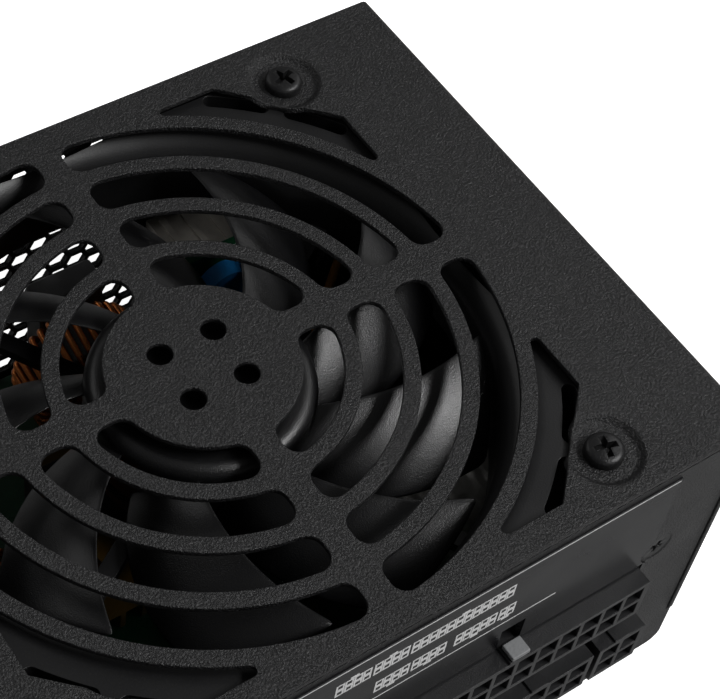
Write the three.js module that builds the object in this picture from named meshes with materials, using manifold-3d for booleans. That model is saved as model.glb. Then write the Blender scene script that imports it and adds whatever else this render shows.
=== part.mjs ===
// A small form factor power supply unit with detachable cable sockets.
// Millimetres, +Z up through the fan grille. Origin: middle of the underside. The cable sockets are
// on the -Y wall, the mains inlet, the switch and the air outlet on the +Y wall.

import * as THREE from 'three';
import { mergeVertices } from 'three/addons/utils/BufferGeometryUtils.js';
import Module from 'manifold-3d';

const wasm = await Module();
wasm.setup();

// ---- Driving dimensions ----
const caseWidth = 125;          // X
const caseDepth = 100;          // Y
const caseHeight = 63.5;        // Z
const sheet = 1;                // folded steel sheet
const bendRadius = 1.2;         // outside radius of the lid's folds
const trayBendRadius = 2.6;     // outside radius of the tray's lower folds
const trayLip = 10.3;           // height of the tray's own side walls
const seamGap = 0.5;            // slit between the lid's side and the tray's side
const wallInset = 0.3;          // front and rear walls sit this far inside the lid's edge
const lidGap = 1;               // shadow gap over the front and rear walls
const slack = 0.3;              // clearance between pieces that are cut to fit
const sideSlack = 0.2;          // clearance between the walls and the lid's sides

// fan and grille, placed from the fan's centre
const fanX = -1.7;
const fanY = -0.4;
const fanSize = 92;
const fanDepth = 15;
const fanHolePitch = 82.5;
const padDepth = 1;             // the screw pads are pressed this far into the lid
const padFloorRadius = 5;
const padTopRadius = 6.2;
const padChord = 4.88;          // flat side of the pad, from the screw
const discRadius = 14.4;        // middle of the grille
const slotWidth = 5.9;
const slotPitch = 8.5;
const slotRings = 4;
const bridgeHalf = 2.2;         // half width of the four bridges
const slotFillet = 2.3;
const discHoleRadius = 1.9;
const discHoleAt = 4.5;
const rimRadius = 48.4;         // outer rib of the grille
const cornerEdge = 45.3;        // straight sides of the corner cut-outs
const cornerFillet = 0.8;
const throatRadius = 44;        // the fan's duct
const mouthRadius = 50;         // its flared upper edge
const mouthDepth = 5;
const hubRadius = 17;
const hubWall = 1.6;
const hubRound = 2.2;
const bladeCount = 9;
const bladeThickness = 1.3;
const bladeRise = 10;           // height of a blade at its root
const bladeRootChord = THREE.MathUtils.degToRad(34.3);
const bladeTipChord = THREE.MathUtils.degToRad(24);
const bladeSweep = THREE.MathUtils.degToRad(31.7);
const bladePhase = THREE.MathUtils.degToRad(19);
const tipGap = 0.8;
const shaftRadius = 1.5;
const runningFit = 0.05;
const bearingRadius = 3.6;
const motorBaseRadius = 17.5;
const strutCount = 4;

// cable sockets on the front wall
const cell = 4.2;
const cellHole = 3.4;
const cellDepth = 9;
const housingWall = 0.55;
const proud = 3.2;              // how far a housing stands out of the wall
const socketLength = 13;
const rowOverBoard = 1.8;       // the lower row's underside clears the board's screws
const rowPitch = 17.3;          // from the lower row to the upper row
const latchWidth = 3.3;
const latchHeight = 0.45;
const latchNotch = 4.4;
const latchNotchHeight = 6;

// wall screws: countersunk, two in the front wall and two in the rear wall
const frontScrewX = 50.2;
const frontScrewZ = 39.4;
const rearScrewX = 56;
const rearScrewZ = 25;
const screwHeadRadius = 2.75;
const screwShankRadius = 1.45;
const screwHeadDepth = 0.8;
const tabHeight = 10;
const tabOverlap = 4;           // the lid's tab passes the screw by this much

// front label
const labelThickness = 0.25;
const labelHalf = 48.6;
const labelBottom = 4;
const labelTop = 60;

// mains end, on the rear wall
const inletX = 34;
const inletZ = 22;
const inletWidth = 27;
const inletHeight = 20;
const inletDepth = 13.5;        // behind the wall
const inletFlange = 1.5;
const inletRim = 1.2;
const recessWidth = 24.2;
const recessHeight = 16.4;
const recessCorner = 4;
const pinReach = 9;
const switchX = 55;
const switchZ = 44;
const switchWidth = 11;
const switchHeight = 19;
const switchDepth = 12;
const rockerWidth = 8.2;
const rockerHeight = 14;
const rockerTilt = 10;          // each way, in degrees
const meshPitch = 8;            // rows of the rear wall's hexagon holes
const meshWeb = 1.6;
const meshLeft = -49;
const meshRight = 15;
const meshBottom = 9;
const meshTop = 58;
const chassisHoleRadius = 1.75;
const chassisHoleInset = 6;

// boards and what stands on them
const standoff = 5;
const board = 1.6;
const boardHalfX = 58.5;
const boardHalfY = 47.6;
const standoffX = 54;
const standoffY = 43.6;
const underSheet = 0.4;
const modularBoardTop = 44;

// ---- Derived planes ----
const halfWidth = caseWidth / 2;
const halfDepth = caseDepth / 2;
const lidUnder = caseHeight - sheet;
const wallTop = lidUnder - lidGap;
const frontOut = -halfDepth + wallInset;
const frontIn = frontOut + sheet;
const rearOut = halfDepth - wallInset;
const rearIn = rearOut - sheet;
const innerX = halfWidth - sheet;
const wallHalf = innerX - sideSlack;
const fanTop = lidUnder - padDepth;
const fanUnder = fanTop - fanDepth;
const boardUnder = sheet + standoff;
const boardTop = boardUnder + board;
const lowerRow = boardTop + rowOverBoard;
const upperRow = lowerRow + rowPitch;
const sockets = [
  { name: 'socket_24way', columns: 12, right: 47.3, under: upperRow },
  { name: 'socket_8way_upper_inner', columns: 4, right: -7.85, under: upperRow },
  { name: 'socket_8way_upper_outer', columns: 4, right: -29.4, under: upperRow },
  { name: 'socket_4way', columns: 2, right: 51.65, under: lowerRow },
  { name: 'socket_10way', columns: 5, right: 40.9, under: lowerRow },
  { name: 'socket_8way_lower_inner', columns: 4, right: -7.85, under: lowerRow },
  { name: 'socket_8way_lower_outer', columns: 4, right: -29.4, under: lowerRow },
];
const housingHeight = 2 * cell + 2 * housingWall;
const housingFront = frontOut - proud;
const housingBack = housingFront + socketLength;
const screwAt = fanHolePitch / 2;
const corners = [[1, 1], [-1, 1], [-1, -1], [1, -1]];
const grain = 16;               // sides of a small round
const screwSides = 16;
const padSides = 24;
const fanSides = 48;

// ---- Shapes ----

function block(x0, x1, y0, y1, z0, z1) {
  const shape = new THREE.BoxGeometry(x1 - x0, y1 - y0, z1 - z0);
  return shape.translate((x0 + x1) / 2, (y0 + y1) / 2, (z0 + z1) / 2);
}

// a block given by its middle in X, then its ranges in Y and Z
function centred(x, width, y0, y1, z0, z1) {
  return block(x - width / 2, x + width / 2, y0, y1, z0, z1);
}

function rod(radius, z0, z1, x = 0, y = 0, sides = grain) {
  const shape = new THREE.CylinderGeometry(radius, radius, z1 - z0, sides);
  return shape.rotateX(Math.PI / 2).translate(x, y, (z0 + z1) / 2);
}

// a rod along Y
function rodY(radius, y0, y1, x, z, sides = grain) {
  const shape = new THREE.CylinderGeometry(radius, radius, y1 - y0, sides);
  return shape.translate(x, (y0 + y1) / 2, z);
}

// a rod along X
function rodX(radius, x0, x1, y, z, sides = grain) {
  const shape = new THREE.CylinderGeometry(radius, radius, x1 - x0, sides);
  return shape.rotateZ(Math.PI / 2).translate((x0 + x1) / 2, y, z);
}

// a profile of [radius, height] points turned about Z; it starts and ends on the axis or closes
function turned(profile, sides = 48) {
  const points = profile.map(([r, z]) => new THREE.Vector2(r, z));
  return new THREE.LatheGeometry(points, sides).rotateX(Math.PI / 2);
}

// an outline in X and Y made z0 to z1 thick
function plate(outline, z0, z1, curveSegments = 12) {
  const options = { depth: z1 - z0, bevelEnabled: false, curveSegments };
  return new THREE.ExtrudeGeometry(outline, options).translate(0, 0, z0);
}

// an outline in X and Z made from y0 to y1
function wallPlate(outline, y0, y1, curveSegments = 8) {
  const options = { depth: y1 - y0, bevelEnabled: false, curveSegments };
  return new THREE.ExtrudeGeometry(outline, options).rotateX(Math.PI / 2).translate(0, y1, 0);
}

function polygon(points) {
  return new THREE.Shape(points.map(([a, b]) => new THREE.Vector2(a, b)));
}

function regular(radius, sides, x, y, turn = 0) {
  const points = [];
  for (let i = 0; i < sides; i += 1) {
    const angle = turn + (i * 2 * Math.PI) / sides;
    points.push([x + radius * Math.cos(angle), y + radius * Math.sin(angle)]);
  }
  return polygon(points);
}

// ---- Joining and cutting ----

function toSolid(geometry) {
  const bare = geometry.clone();
  for (const name of Object.keys(bare.attributes)) {
    if (name !== 'position') bare.deleteAttribute(name);
  }
  const merged = mergeVertices(bare, 1e-4);
  return new wasm.Manifold(new wasm.Mesh({
    numProp: 3,
    vertProperties: new Float32Array(merged.attributes.position.array),
    triVerts: new Uint32Array(merged.index.array),
  }));
}

function fromSolid(solid) {
  const data = solid.getMesh();
  const geometry = new THREE.BufferGeometry();
  geometry.setAttribute('position', new THREE.BufferAttribute(data.vertProperties, 3));
  geometry.setIndex(new THREE.BufferAttribute(data.triVerts, 1));
  geometry.computeVertexNormals();
  return geometry;
}

function join(...shapes) {
  return fromSolid(shapes.map(toSolid).reduce((sum, next) => sum.add(next)));
}

function cut(base, ...tools) {
  return fromSolid(tools.map(toSolid).reduce((rest, tool) => rest.subtract(tool), toSolid(base)));
}

// ---- The lid: one folded sheet with the pressed fan grille ----

// points on an arc about a centre, from one angle to another
function arc(cx, cy, radius, from, to, steps) {
  const points = [];
  for (let i = 0; i <= steps; i += 1) {
    const angle = from + ((to - from) * i) / steps;
    points.push([cx + radius * Math.cos(angle), cy + radius * Math.sin(angle)]);
  }
  return points;
}

const quarter = Math.PI / 2;
const filletSteps = 3;
const arcStep = THREE.MathUtils.degToRad(9);

// one slot of the grille in the first quadrant, between two radii and the two bridges
function slotOutline(inner, outer) {
  const f = slotFillet;
  const line = bridgeHalf + f;
  const outerAt = Math.sqrt((outer - f) ** 2 - line ** 2);
  const innerAt = Math.sqrt((inner + f) ** 2 - line ** 2);
  const outerTurn = Math.atan2(line, outerAt);
  const innerTurn = Math.atan2(line, innerAt);
  const steps = Math.round((quarter - 2 * outerTurn) / arcStep);
  return polygon([
    ...arc(outerAt, line, f, -quarter, outerTurn, filletSteps),
    ...arc(0, 0, outer, outerTurn, quarter - outerTurn, steps).slice(1, -1),
    ...arc(line, outerAt, f, quarter - outerTurn, Math.PI, filletSteps),
    ...arc(line, innerAt, f, Math.PI, 2 * Math.PI - quarter - innerTurn, filletSteps),
    ...arc(0, 0, inner, quarter - innerTurn, innerTurn, steps).slice(1, -1),
    ...arc(innerAt, line, f, Math.PI + innerTurn, Math.PI + quarter, filletSteps),
  ]);
}

// the cut-out between the outer rib and a screw pad, in the first quadrant
function cornerOutline() {
  const f = cornerFillet;
  const chamfer = 2 * screwAt - padChord * Math.SQRT2;
  const along = cornerEdge - f;
  const tip = Math.sqrt((rimRadius + f) ** 2 - along ** 2);
  const turn = Math.atan2(tip, along);
  return polygon([
    [cornerEdge, chamfer - cornerEdge],
    [chamfer - cornerEdge, cornerEdge],
    ...arc(tip, along, f, quarter, Math.PI + quarter - turn, filletSteps),
    ...arc(0, 0, rimRadius, quarter - turn, turn, 8).slice(1, -1),
    ...arc(along, tip, f, Math.PI + turn, 2 * Math.PI, filletSteps),
  ]);
}

function grilleCutters() {
  const cutters = [];
  const low = lidUnder - padDepth - sheet;
  const high = caseHeight + slack;
  corners.forEach((corner, quadrant) => {
    const turn = quadrant * quarter;
    for (let ring = 0; ring < slotRings; ring += 1) {
      const inner = discRadius + ring * slotPitch;
      const slot = plate(slotOutline(inner, inner + slotWidth), low, high);
      cutters.push(slot.rotateZ(turn));
    }
    cutters.push(plate(cornerOutline(), low, high).rotateZ(turn));
    const [sx, sy] = corner;
    cutters.push(rod(discHoleRadius, low, high, sx * discHoleAt, sy * discHoleAt));
  });
  return cutters;
}

// the pressed seat of one fan screw: outside and inside of the dish, before the holes
function padDish(grow, lift) {
  const top = caseHeight + lift;
  const floor = caseHeight - padDepth + lift;
  const slope = (padTopRadius - padFloorRadius) / padDepth;
  const reach = lift > 0 ? lift * slope : 0;
  return turned([
    [0, floor],
    [padFloorRadius + grow, floor],
    [padTopRadius + grow + reach, top + (lift > 0 ? lift : 0)],
    [0, top + (lift > 0 ? lift : 0)],
  ], padSides);
}

function lidSection() {
  const r = bendRadius;
  const low = trayLip + seamGap;
  const inside = Math.max(r - sheet, 0.1);
  const outline = new THREE.Shape();
  outline.moveTo(-halfWidth, low);
  outline.lineTo(-innerX, low);
  outline.lineTo(-innerX, lidUnder - inside);
  outline.absarc(-innerX + inside, lidUnder - inside, inside, Math.PI, Math.PI / 2, true);
  outline.lineTo(innerX - inside, lidUnder);
  outline.absarc(innerX - inside, lidUnder - inside, inside, Math.PI / 2, 0, true);
  outline.lineTo(innerX, low);
  outline.lineTo(halfWidth, low);
  outline.lineTo(halfWidth, caseHeight - r);
  outline.absarc(halfWidth - r, caseHeight - r, r, 0, Math.PI / 2, false);
  outline.lineTo(-halfWidth + r, caseHeight);
  outline.absarc(-halfWidth + r, caseHeight - r, r, Math.PI / 2, Math.PI, false);
  return outline;
}

// the four tabs folded inwards behind the walls, which the wall screws hold
function lidTabs() {
  const tabs = [];
  for (const side of [-1, 1]) {
    const outer = side * (innerX + sheet / 2);
    const frontEdge = side * (frontScrewX - tabOverlap);
    const rearEdge = side * (rearScrewX - tabOverlap);
    const frontLow = upperRow + housingHeight + slack;
    tabs.push(block(
      Math.min(outer, frontEdge), Math.max(outer, frontEdge),
      frontIn, frontIn + sheet, frontLow, frontLow + tabHeight,
    ));
    tabs.push(block(
      Math.min(outer, rearEdge), Math.max(outer, rearEdge),
      rearIn - sheet, rearIn, rearScrewZ - tabHeight / 2, rearScrewZ + tabHeight / 2,
    ));
  }
  return tabs;
}

function topCover() {
  const folded = join(wallPlate(lidSection(), -halfDepth, halfDepth), ...lidTabs());
  const inFan = (shape) => shape.translate(fanX, fanY, 0);
  const dishes = corners.map(([sx, sy]) => (
    inFan(padDish(sheet * 0.7, -sheet)).translate(sx * screwAt, sy * screwAt, 0)
  ));
  const hollows = corners.map(([sx, sy]) => (
    inFan(padDish(0, 0)).translate(sx * screwAt, sy * screwAt, 0)
  ));
  const risers = corners.map(([sx, sy]) => (
    inFan(rod(padTopRadius, caseHeight, caseHeight + slack, sx * screwAt, sy * screwAt, padSides))
  ));
  const holes = corners.map(([sx, sy]) => (
    inFan(rod(screwShankRadius + slack, 0, caseHeight, sx * screwAt, sy * screwAt))
  ));
  const tapped = [];
  for (const side of [-1, 1]) {
    tapped.push(rodY(screwShankRadius + slack, frontOut, 0, side * frontScrewX, frontScrewZ));
    tapped.push(rodY(screwShankRadius + slack, 0, rearOut, side * rearScrewX, rearScrewZ));
  }
  const solid = join(folded, ...dishes);
  return cut(solid, ...hollows, ...risers, ...grilleCutters().map(inFan), ...holes, ...tapped);
}

// ---- The tray: underside, front wall, rear wall and low sides ----

function traySection() {
  const r = trayBendRadius;
  const inside = r - sheet;
  const outline = new THREE.Shape();
  outline.moveTo(-halfWidth, r);
  outline.absarc(-halfWidth + r, r, r, Math.PI, 1.5 * Math.PI, false);
  outline.absarc(halfWidth - r, r, r, 1.5 * Math.PI, 2 * Math.PI, false);
  outline.lineTo(halfWidth, trayLip);
  outline.lineTo(innerX, trayLip);
  outline.absarc(innerX - inside, sheet + inside, inside, 0, -Math.PI / 2, true);
  outline.absarc(-innerX + inside, sheet + inside, inside, -Math.PI / 2, -Math.PI, true);
  outline.lineTo(-innerX, trayLip);
  outline.lineTo(-halfWidth, trayLip);
  return outline;
}

// the end walls follow the tray's section low down and stand between the lid's sides above it
function endWallOutline() {
  const r = trayBendRadius;
  const outline = new THREE.Shape();
  outline.moveTo(-halfWidth, r);
  outline.absarc(-halfWidth + r, r, r, Math.PI, 1.5 * Math.PI, false);
  outline.absarc(halfWidth - r, r, r, 1.5 * Math.PI, 2 * Math.PI, false);
  outline.lineTo(halfWidth, trayLip);
  outline.lineTo(wallHalf, trayLip);
  outline.lineTo(wallHalf, wallTop);
  outline.lineTo(-wallHalf, wallTop);
  outline.lineTo(-wallHalf, trayLip);
  outline.lineTo(-halfWidth, trayLip);
  return outline;
}

function socketCutters(y0, y1, gap) {
  const cutters = [];
  for (const socket of sockets) {
    const width = socket.columns * cell + 2 * housingWall;
    const middle = socket.right - width / 2;
    const top = socket.under + housingHeight;
    const low = socket.under - gap;
    cutters.push(centred(middle, width + 2 * gap, y0, y1, low, top + gap));
    cutters.push(centred(middle, latchNotch, y0, y1, top - gap, top + latchNotchHeight));
  }
  return cutters;
}

// a cutter with a countersink for a wall screw; facing is -1 for the front wall, 1 for the rear
function countersink(x, z, facing) {
  const face = facing < 0 ? frontOut : rearOut;
  const cone = turned([
    [0, -4 * sheet],
    [screwShankRadius + slack, -4 * sheet],
    [screwShankRadius + slack, -screwHeadDepth],
    [screwHeadRadius + slack, 0],
    [screwHeadRadius + slack, slack],
    [0, slack],
  ], grain);
  return cone.rotateX(facing < 0 ? Math.PI / 2 : -Math.PI / 2).translate(x, face, z);
}

function meshCutters() {
  const cutters = [];
  const radius = (meshPitch - meshWeb) / Math.sqrt(3);
  const columnStep = meshPitch * Math.sqrt(3) / 2;
  const columns = Math.floor((meshRight - meshLeft - 2 * radius) / columnStep) + 1;
  for (let column = 0; column < columns; column += 1) {
    const x = meshLeft + radius + column * columnStep;
    const lift = column % 2 ? meshPitch / 2 : 0;
    let z = meshBottom + meshPitch / 2 + lift;
    while (z + meshPitch / 2 < meshTop) {
      cutters.push(wallPlate(regular(radius, 6, x, z), rearIn - slack, rearOut + slack));
      z += meshPitch;
    }
  }
  return cutters;
}

function bottomTray() {
  const floor = wallPlate(traySection(), frontIn - slack, rearIn + slack);
  const front = wallPlate(endWallOutline(), frontOut, frontIn);
  const rear = wallPlate(endWallOutline(), rearIn, rearOut);
  const seat = innerX - slack / 2;
  const joggles = [-1, 1].map((side) => join(
    centred(side * (innerX - sheet / 2), sheet + slack, -40, 40, trayLip - 4, trayLip),
    centred(side * (seat - sheet / 2), sheet, -40, 40, trayLip - slack, trayLip + 4.5),
  ));
  const cutters = [
    ...socketCutters(frontOut - slack, frontIn + slack, slack),
    ...meshCutters(),
    centred(inletX, inletWidth + 2 * slack, rearIn - slack, rearOut + slack,
      inletZ - inletHeight / 2 - slack, inletZ + inletHeight / 2 + slack),
    centred(switchX, switchWidth + 2 * slack, rearIn - slack, rearOut + slack,
      switchZ - switchHeight / 2 - slack, switchZ + switchHeight / 2 + slack),
  ];
  for (const side of [-1, 1]) {
    cutters.push(countersink(side * frontScrewX, frontScrewZ, -1));
    cutters.push(countersink(side * rearScrewX, rearScrewZ, 1));
    for (const z of [chassisHoleInset, wallTop - chassisHoleInset / 2]) {
      const x = side * (halfWidth - chassisHoleInset);
      cutters.push(rodY(chassisHoleRadius, rearIn - slack, rearOut + slack, x, z));
    }
  }
  return cut(join(floor, front, rear, ...joggles), ...cutters);
}

function frontLabel() {
  const y0 = frontOut - labelThickness;
  const film = block(-labelHalf, labelHalf, y0, frontOut, labelBottom, labelTop);
  const notches = [-1, 1].map((side) => (
    rodY(screwHeadRadius + 2 * slack, y0 - slack, frontOut + slack, side * frontScrewX, frontScrewZ)
  ));
  return cut(film, ...socketCutters(y0 - slack, frontOut + slack, slack * 2), ...notches);
}

// ---- Screws ----

// a cross recess: two crossed bars sunk into a head that faces +Z, its top at z = 0
function crossRecess(width, bar, depth, top) {
  const lower = -depth;
  return [
    block(-width / 2, width / 2, -bar / 2, bar / 2, lower, top),
    block(-bar / 2, bar / 2, -width / 2, width / 2, lower, top),
  ];
}

// pan head machine screw for the fan: z = 0 is the top of its head
function panScrew(headHeight, length) {
  const radius = 3;
  const body = turned([
    [0, -headHeight - length],
    [screwShankRadius, -headHeight - length],
    [screwShankRadius, -headHeight],
    [radius, -headHeight],
    [radius, -1.1],
    [radius * 0.8, -0.45],
    [radius * 0.45, -0.08],
    [0, 0],
  ], screwSides);
  return cut(body, ...crossRecess(3.2, 0.9, 1.5, slack));
}

// countersunk screw for the walls: z = 0 is the flat of its head
function flatScrew(length) {
  const body = turned([
    [0, -length],
    [screwShankRadius, -length],
    [screwShankRadius, -screwHeadDepth],
    [screwHeadRadius, 0],
    [0, 0],
  ], screwSides);
  return cut(body, ...crossRecess(2.7, 0.7, 1.2, slack));
}

// ---- The fan ----

function fanFrame() {
  const half = fanSize / 2;
  const low = fanUnder;
  const square = plate(polygon([
    [half - 2, -half], [half, -half + 2], [half, half - 2], [half - 2, half],
    [-half + 2, half], [-half, half - 2], [-half, -half + 2], [-half + 2, -half],
  ]), low, fanTop);
  const duct = turned([
    [0, low - slack],
    [throatRadius, low - slack],
    [throatRadius, fanTop - mouthDepth],
    [throatRadius + 0.7, fanTop - mouthDepth * 0.55],
    [throatRadius + 2.4, fanTop - mouthDepth * 0.2],
    [mouthRadius, fanTop + slack],
    [0, fanTop + slack],
  ], fanSides);
  // the corners are hollow between an upper and a lower flange
  const flange = 3.2;
  const ductOuter = turned([
    [0, low + flange],
    [throatRadius + 1.6, low + flange],
    [throatRadius + 1.6, fanTop - flange],
    [0, fanTop - flange],
  ], fanSides);
  const band = cut(
    block(-half - 1, half + 1, -half - 1, half + 1, low + flange, fanTop - flange),
    ductOuter,
  );
  const holes = corners.map(([sx, sy]) => (
    rod(screwShankRadius + slack, low - 1, fanTop + 1, sx * screwAt, sy * screwAt)
  ));
  const base = rod(motorBaseRadius, low, low + 1.6, 0, 0, 40);
  const tube = rod(bearingRadius + 1, low, low + 8, 0, 0, 32);
  const struts = [];
  for (let i = 0; i < strutCount; i += 1) {
    const strut = block(motorBaseRadius - 1.5, throatRadius + 1, -1.4, 1.4, low, low + 1.8);
    struts.push(strut.rotateZ(((i + 0.35) * 2 * Math.PI) / strutCount));
  }
  const shell = cut(square, duct, band, ...holes);
  return cut(join(shell, base, tube, ...struts), rod(bearingRadius, low - 1, low + 9, 0, 0, 32));
}

function fanBearing() {
  const body = rod(bearingRadius, fanUnder, fanUnder + 8, 0, 0, 32);
  return cut(body, rod(shaftRadius + runningFit, fanUnder - 1, fanUnder + 9, 0, 0, 32));
}

function fanStator() {
  const inner = bearingRadius + 1 + slack / 3;
  const z0 = fanUnder + 1.6;
  const core = turned([[inner, z0], [8, z0], [8, z0 + 6], [inner, z0 + 6], [inner, z0]], 20);
  const poles = [];
  for (let i = 0; i < 4; i += 1) {
    const pole = join(
      block(7, 11.6, -2.6, 2.6, z0 + 0.4, z0 + 5.6),
      block(11, 12.4, -4, 4, z0 + 1.4, z0 + 4.6),
    );
    poles.push(pole.rotateZ((i * Math.PI) / 2));
  }
  return join(core, ...poles);
}

const hubTop = fanTop - 1;
const hubUnder = fanUnder + 2.6;

function hubCup() {
  const r = hubRound;
  const outer = [];
  for (let i = 0; i <= 5; i += 1) {
    const angle = (i / 5) * (Math.PI / 2);
    outer.push([hubRadius - r + r * Math.cos(angle), hubTop - r + r * Math.sin(angle)]);
  }
  const inner = hubRadius - hubWall;
  const roof = hubTop - hubWall;
  const boss = 3;
  const bossUnder = fanUnder + 10;
  return turned([
    [0, bossUnder],
    [boss, bossUnder],
    [boss, roof],
    [inner, roof],
    [inner, hubUnder],
    [hubRadius, hubUnder],
    ...outer,
    [0, hubTop],
  ], fanSides);
}

// a swept blade: a thin slab bent by a rule of its radius and its place along the chord
function blade() {
  const root = hubRadius - hubWall * 0.6;
  const tip = throatRadius - tipGap;
  const shape = new THREE.BoxGeometry(1, 1, 1, 6, 5, 1);
  const position = shape.attributes.position;
  for (let i = 0; i < position.count; i += 1) {
    const along = position.getX(i) + 0.5;
    const across = position.getY(i);
    const radius = root + (tip - root) * along;
    const chord = bladeRootChord + (bladeTipChord - bladeRootChord) * along;
    const camber = 0.9 * Math.cos(across * Math.PI);
    const pitch = (bladeRise - 1.4 * along) * across;
    const angle = bladeSweep * along + chord * across;
    const height = (hubTop + hubUnder) / 2 + pitch + camber - 0.3;
    const lift = position.getZ(i) * bladeThickness;
    position.setXYZ(i, radius * Math.cos(angle), radius * Math.sin(angle), height + lift);
  }
  return shape;
}

function fanRotor() {
  const blades = [];
  for (let i = 0; i < bladeCount; i += 1) {
    blades.push(blade().rotateZ(bladePhase + (i * 2 * Math.PI) / bladeCount));
  }
  const inside = rod(hubRadius - hubWall, 0, hubTop - hubWall, 0, 0, fanSides);
  const cup = hubCup();
  return join(cut(join(...blades), inside), cup);
}

function rotorMagnet() {
  const outer = hubRadius - hubWall - slack / 3;
  const roof = hubTop - hubWall;
  const inner = outer - 1.6;
  const low = hubUnder + 0.6;
  return turned([[inner, low], [outer, low], [outer, roof], [inner, roof], [inner, low]], 24);
}

// ---- Sockets ----

function socketHousing(columns) {
  const width = columns * cell + 2 * housingWall;
  const body = centred(-width / 2, width, housingFront, housingBack, 0, housingHeight);
  const latch = centred(-width / 2, latchWidth, housingFront, housingBack,
    housingHeight - slack, housingHeight + latchHeight);
  const cells = [];
  for (let column = 0; column < columns; column += 1) {
    for (let row = 0; row < 2; row += 1) {
      const x = -housingWall - (column + 0.5) * cell;
      const z = housingWall + (row + 0.5) * cell;
      cells.push(centred(x, cellHole, housingFront - 1, housingFront + cellDepth,
        z - cellHole / 2, z + cellHole / 2));
    }
  }
  return cut(join(body, latch), ...cells);
}

// ---- Mains inlet and switch ----

const inletFace = rearOut + inletFlange;
const inletBack = rearIn - inletDepth;
const inletFloor = inletBack + 1.6;

function recessOutline() {
  const w = recessWidth / 2;
  const h = recessHeight / 2;
  const c = recessCorner;
  return polygon([
    [inletX - w, inletZ - h], [inletX + w, inletZ - h], [inletX + w, inletZ + h - c],
    [inletX + w - c, inletZ + h], [inletX - w + c, inletZ + h], [inletX - w, inletZ + h - c],
  ]);
}

const pinSites = [[-7, -2], [0, 2], [7, -2]];

function acInlet() {
  const half = inletHeight / 2;
  const body = centred(inletX, inletWidth, inletBack, inletFace, inletZ - half, inletZ + half);
  const rim = centred(inletX, inletWidth + 2 * inletRim, rearOut, inletFace,
    inletZ - half - inletRim, inletZ + half + inletRim);
  const slots = pinSites.map(([dx, dz]) => (
    centred(inletX + dx, 2 + slack, inletBack - 1, inletFloor + 1,
      inletZ + dz - 2 - slack / 2, inletZ + dz + 2 + slack / 2)
  ));
  return cut(join(body, rim), wallPlate(recessOutline(), inletFloor, inletFace + 1), ...slots);
}

function inletPin([dx, dz]) {
  const blade0 = centred(inletX + dx, 2, inletBack, inletFloor + pinReach,
    inletZ + dz - 2, inletZ + dz + 2);
  const tail = centred(inletX + dx, 0.8, inletBack - 1.2, inletBack,
    inletZ + dz - 1.4, inletZ + dz + 1.4);
  return join(blade0, tail);
}

// the folded metal screen round the inlet's body, behind the wall
function inletShield() {
  const gap = 0.3;
  const t = 0.5;
  const half = inletHeight / 2 + gap;
  const wide = inletWidth + 2 * gap;
  const front = rearIn - 0.4;
  const outer = centred(inletX, wide + 2 * t, inletBack + 1, front, inletZ - half, inletZ + half + t);
  const inner = centred(inletX, wide, inletBack, front + 1, inletZ - half - 1, inletZ + half);
  const ribs = [];
  for (let i = -3; i <= 3; i += 1) {
    ribs.push(centred(inletX + i * 4, 1.2, inletBack + 2, front - 1,
      inletZ + half + t / 2, inletZ + half + t + 0.5));
  }
  return join(cut(outer, inner), ...ribs);
}

const switchFace = rearOut + 1;
const rockerPivotY = rearOut - 1.4;

function switchHousing() {
  const half = switchHeight / 2;
  const back = rearIn - switchDepth;
  const body = centred(switchX, switchWidth, back, switchFace, switchZ - half, switchZ + half);
  const rim = centred(switchX, switchWidth + 1.2, rearOut, switchFace,
    switchZ - half - 0.8, switchZ + half + 0.8);
  const window0 = centred(switchX, rockerWidth + 2 * slack, rockerPivotY - 4, switchFace + 1,
    switchZ - rockerHeight / 2 - 1.2, switchZ + rockerHeight / 2 + 1.2);
  const pivot = rodX(1 + runningFit, switchX - rockerWidth / 2 - 1, switchX + rockerWidth / 2 + 1,
    rockerPivotY, switchZ, 20);
  return cut(join(body, rim), window0, pivot);
}

// the rocker, built about its pivot and stored tilted to its off stop
function switchRocker() {
  const h = rockerHeight / 2;
  const outline = new THREE.Shape();
  outline.moveTo(2.9, -h);
  outline.quadraticCurveTo(1.6, -h * 0.3, 1.5, 0);
  outline.quadraticCurveTo(1.6, h * 0.3, 2.9, h);
  outline.lineTo(0.6, h);
  outline.lineTo(-1.8, 2.4);
  outline.lineTo(-1.8, -2.4);
  outline.lineTo(0.6, -h);
  const options = { depth: rockerWidth, bevelEnabled: false, curveSegments: 8 };
  const body = new THREE.ExtrudeGeometry(outline, options);
  body.translate(0, 0, -rockerWidth / 2).rotateY(Math.PI / 2).rotateX(Math.PI / 2);
  const pins = rodX(1, -rockerWidth / 2 - 0.7, rockerWidth / 2 + 0.7, 0, 0, 20);
  return join(body, pins);
}

// ---- Boards and their parts ----

function mainBoard() {
  const slab = block(-boardHalfX, boardHalfX, -boardHalfY, boardHalfY, boardUnder, boardTop);
  const holes = corners.map(([sx, sy]) => (
    rod(1.7, boardUnder - 1, boardTop + 1, sx * standoffX, sy * standoffY, 16)
  ));
  return cut(slab, ...holes);
}

function insulationSheet() {
  const slab = block(-boardHalfX + 1, boardHalfX - 1, -boardHalfY, boardHalfY, sheet, sheet + underSheet);
  const holes = corners.map(([sx, sy]) => (
    rod(3.1, 0, sheet + 1, sx * standoffX, sy * standoffY, 16)
  ));
  return cut(slab, ...holes);
}

function standoffPost() {
  return cut(rod(2.9, sheet, boardUnder, 0, 0, 6), rod(1.4, sheet + 1, boardUnder + 1, 0, 0, 16));
}

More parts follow.
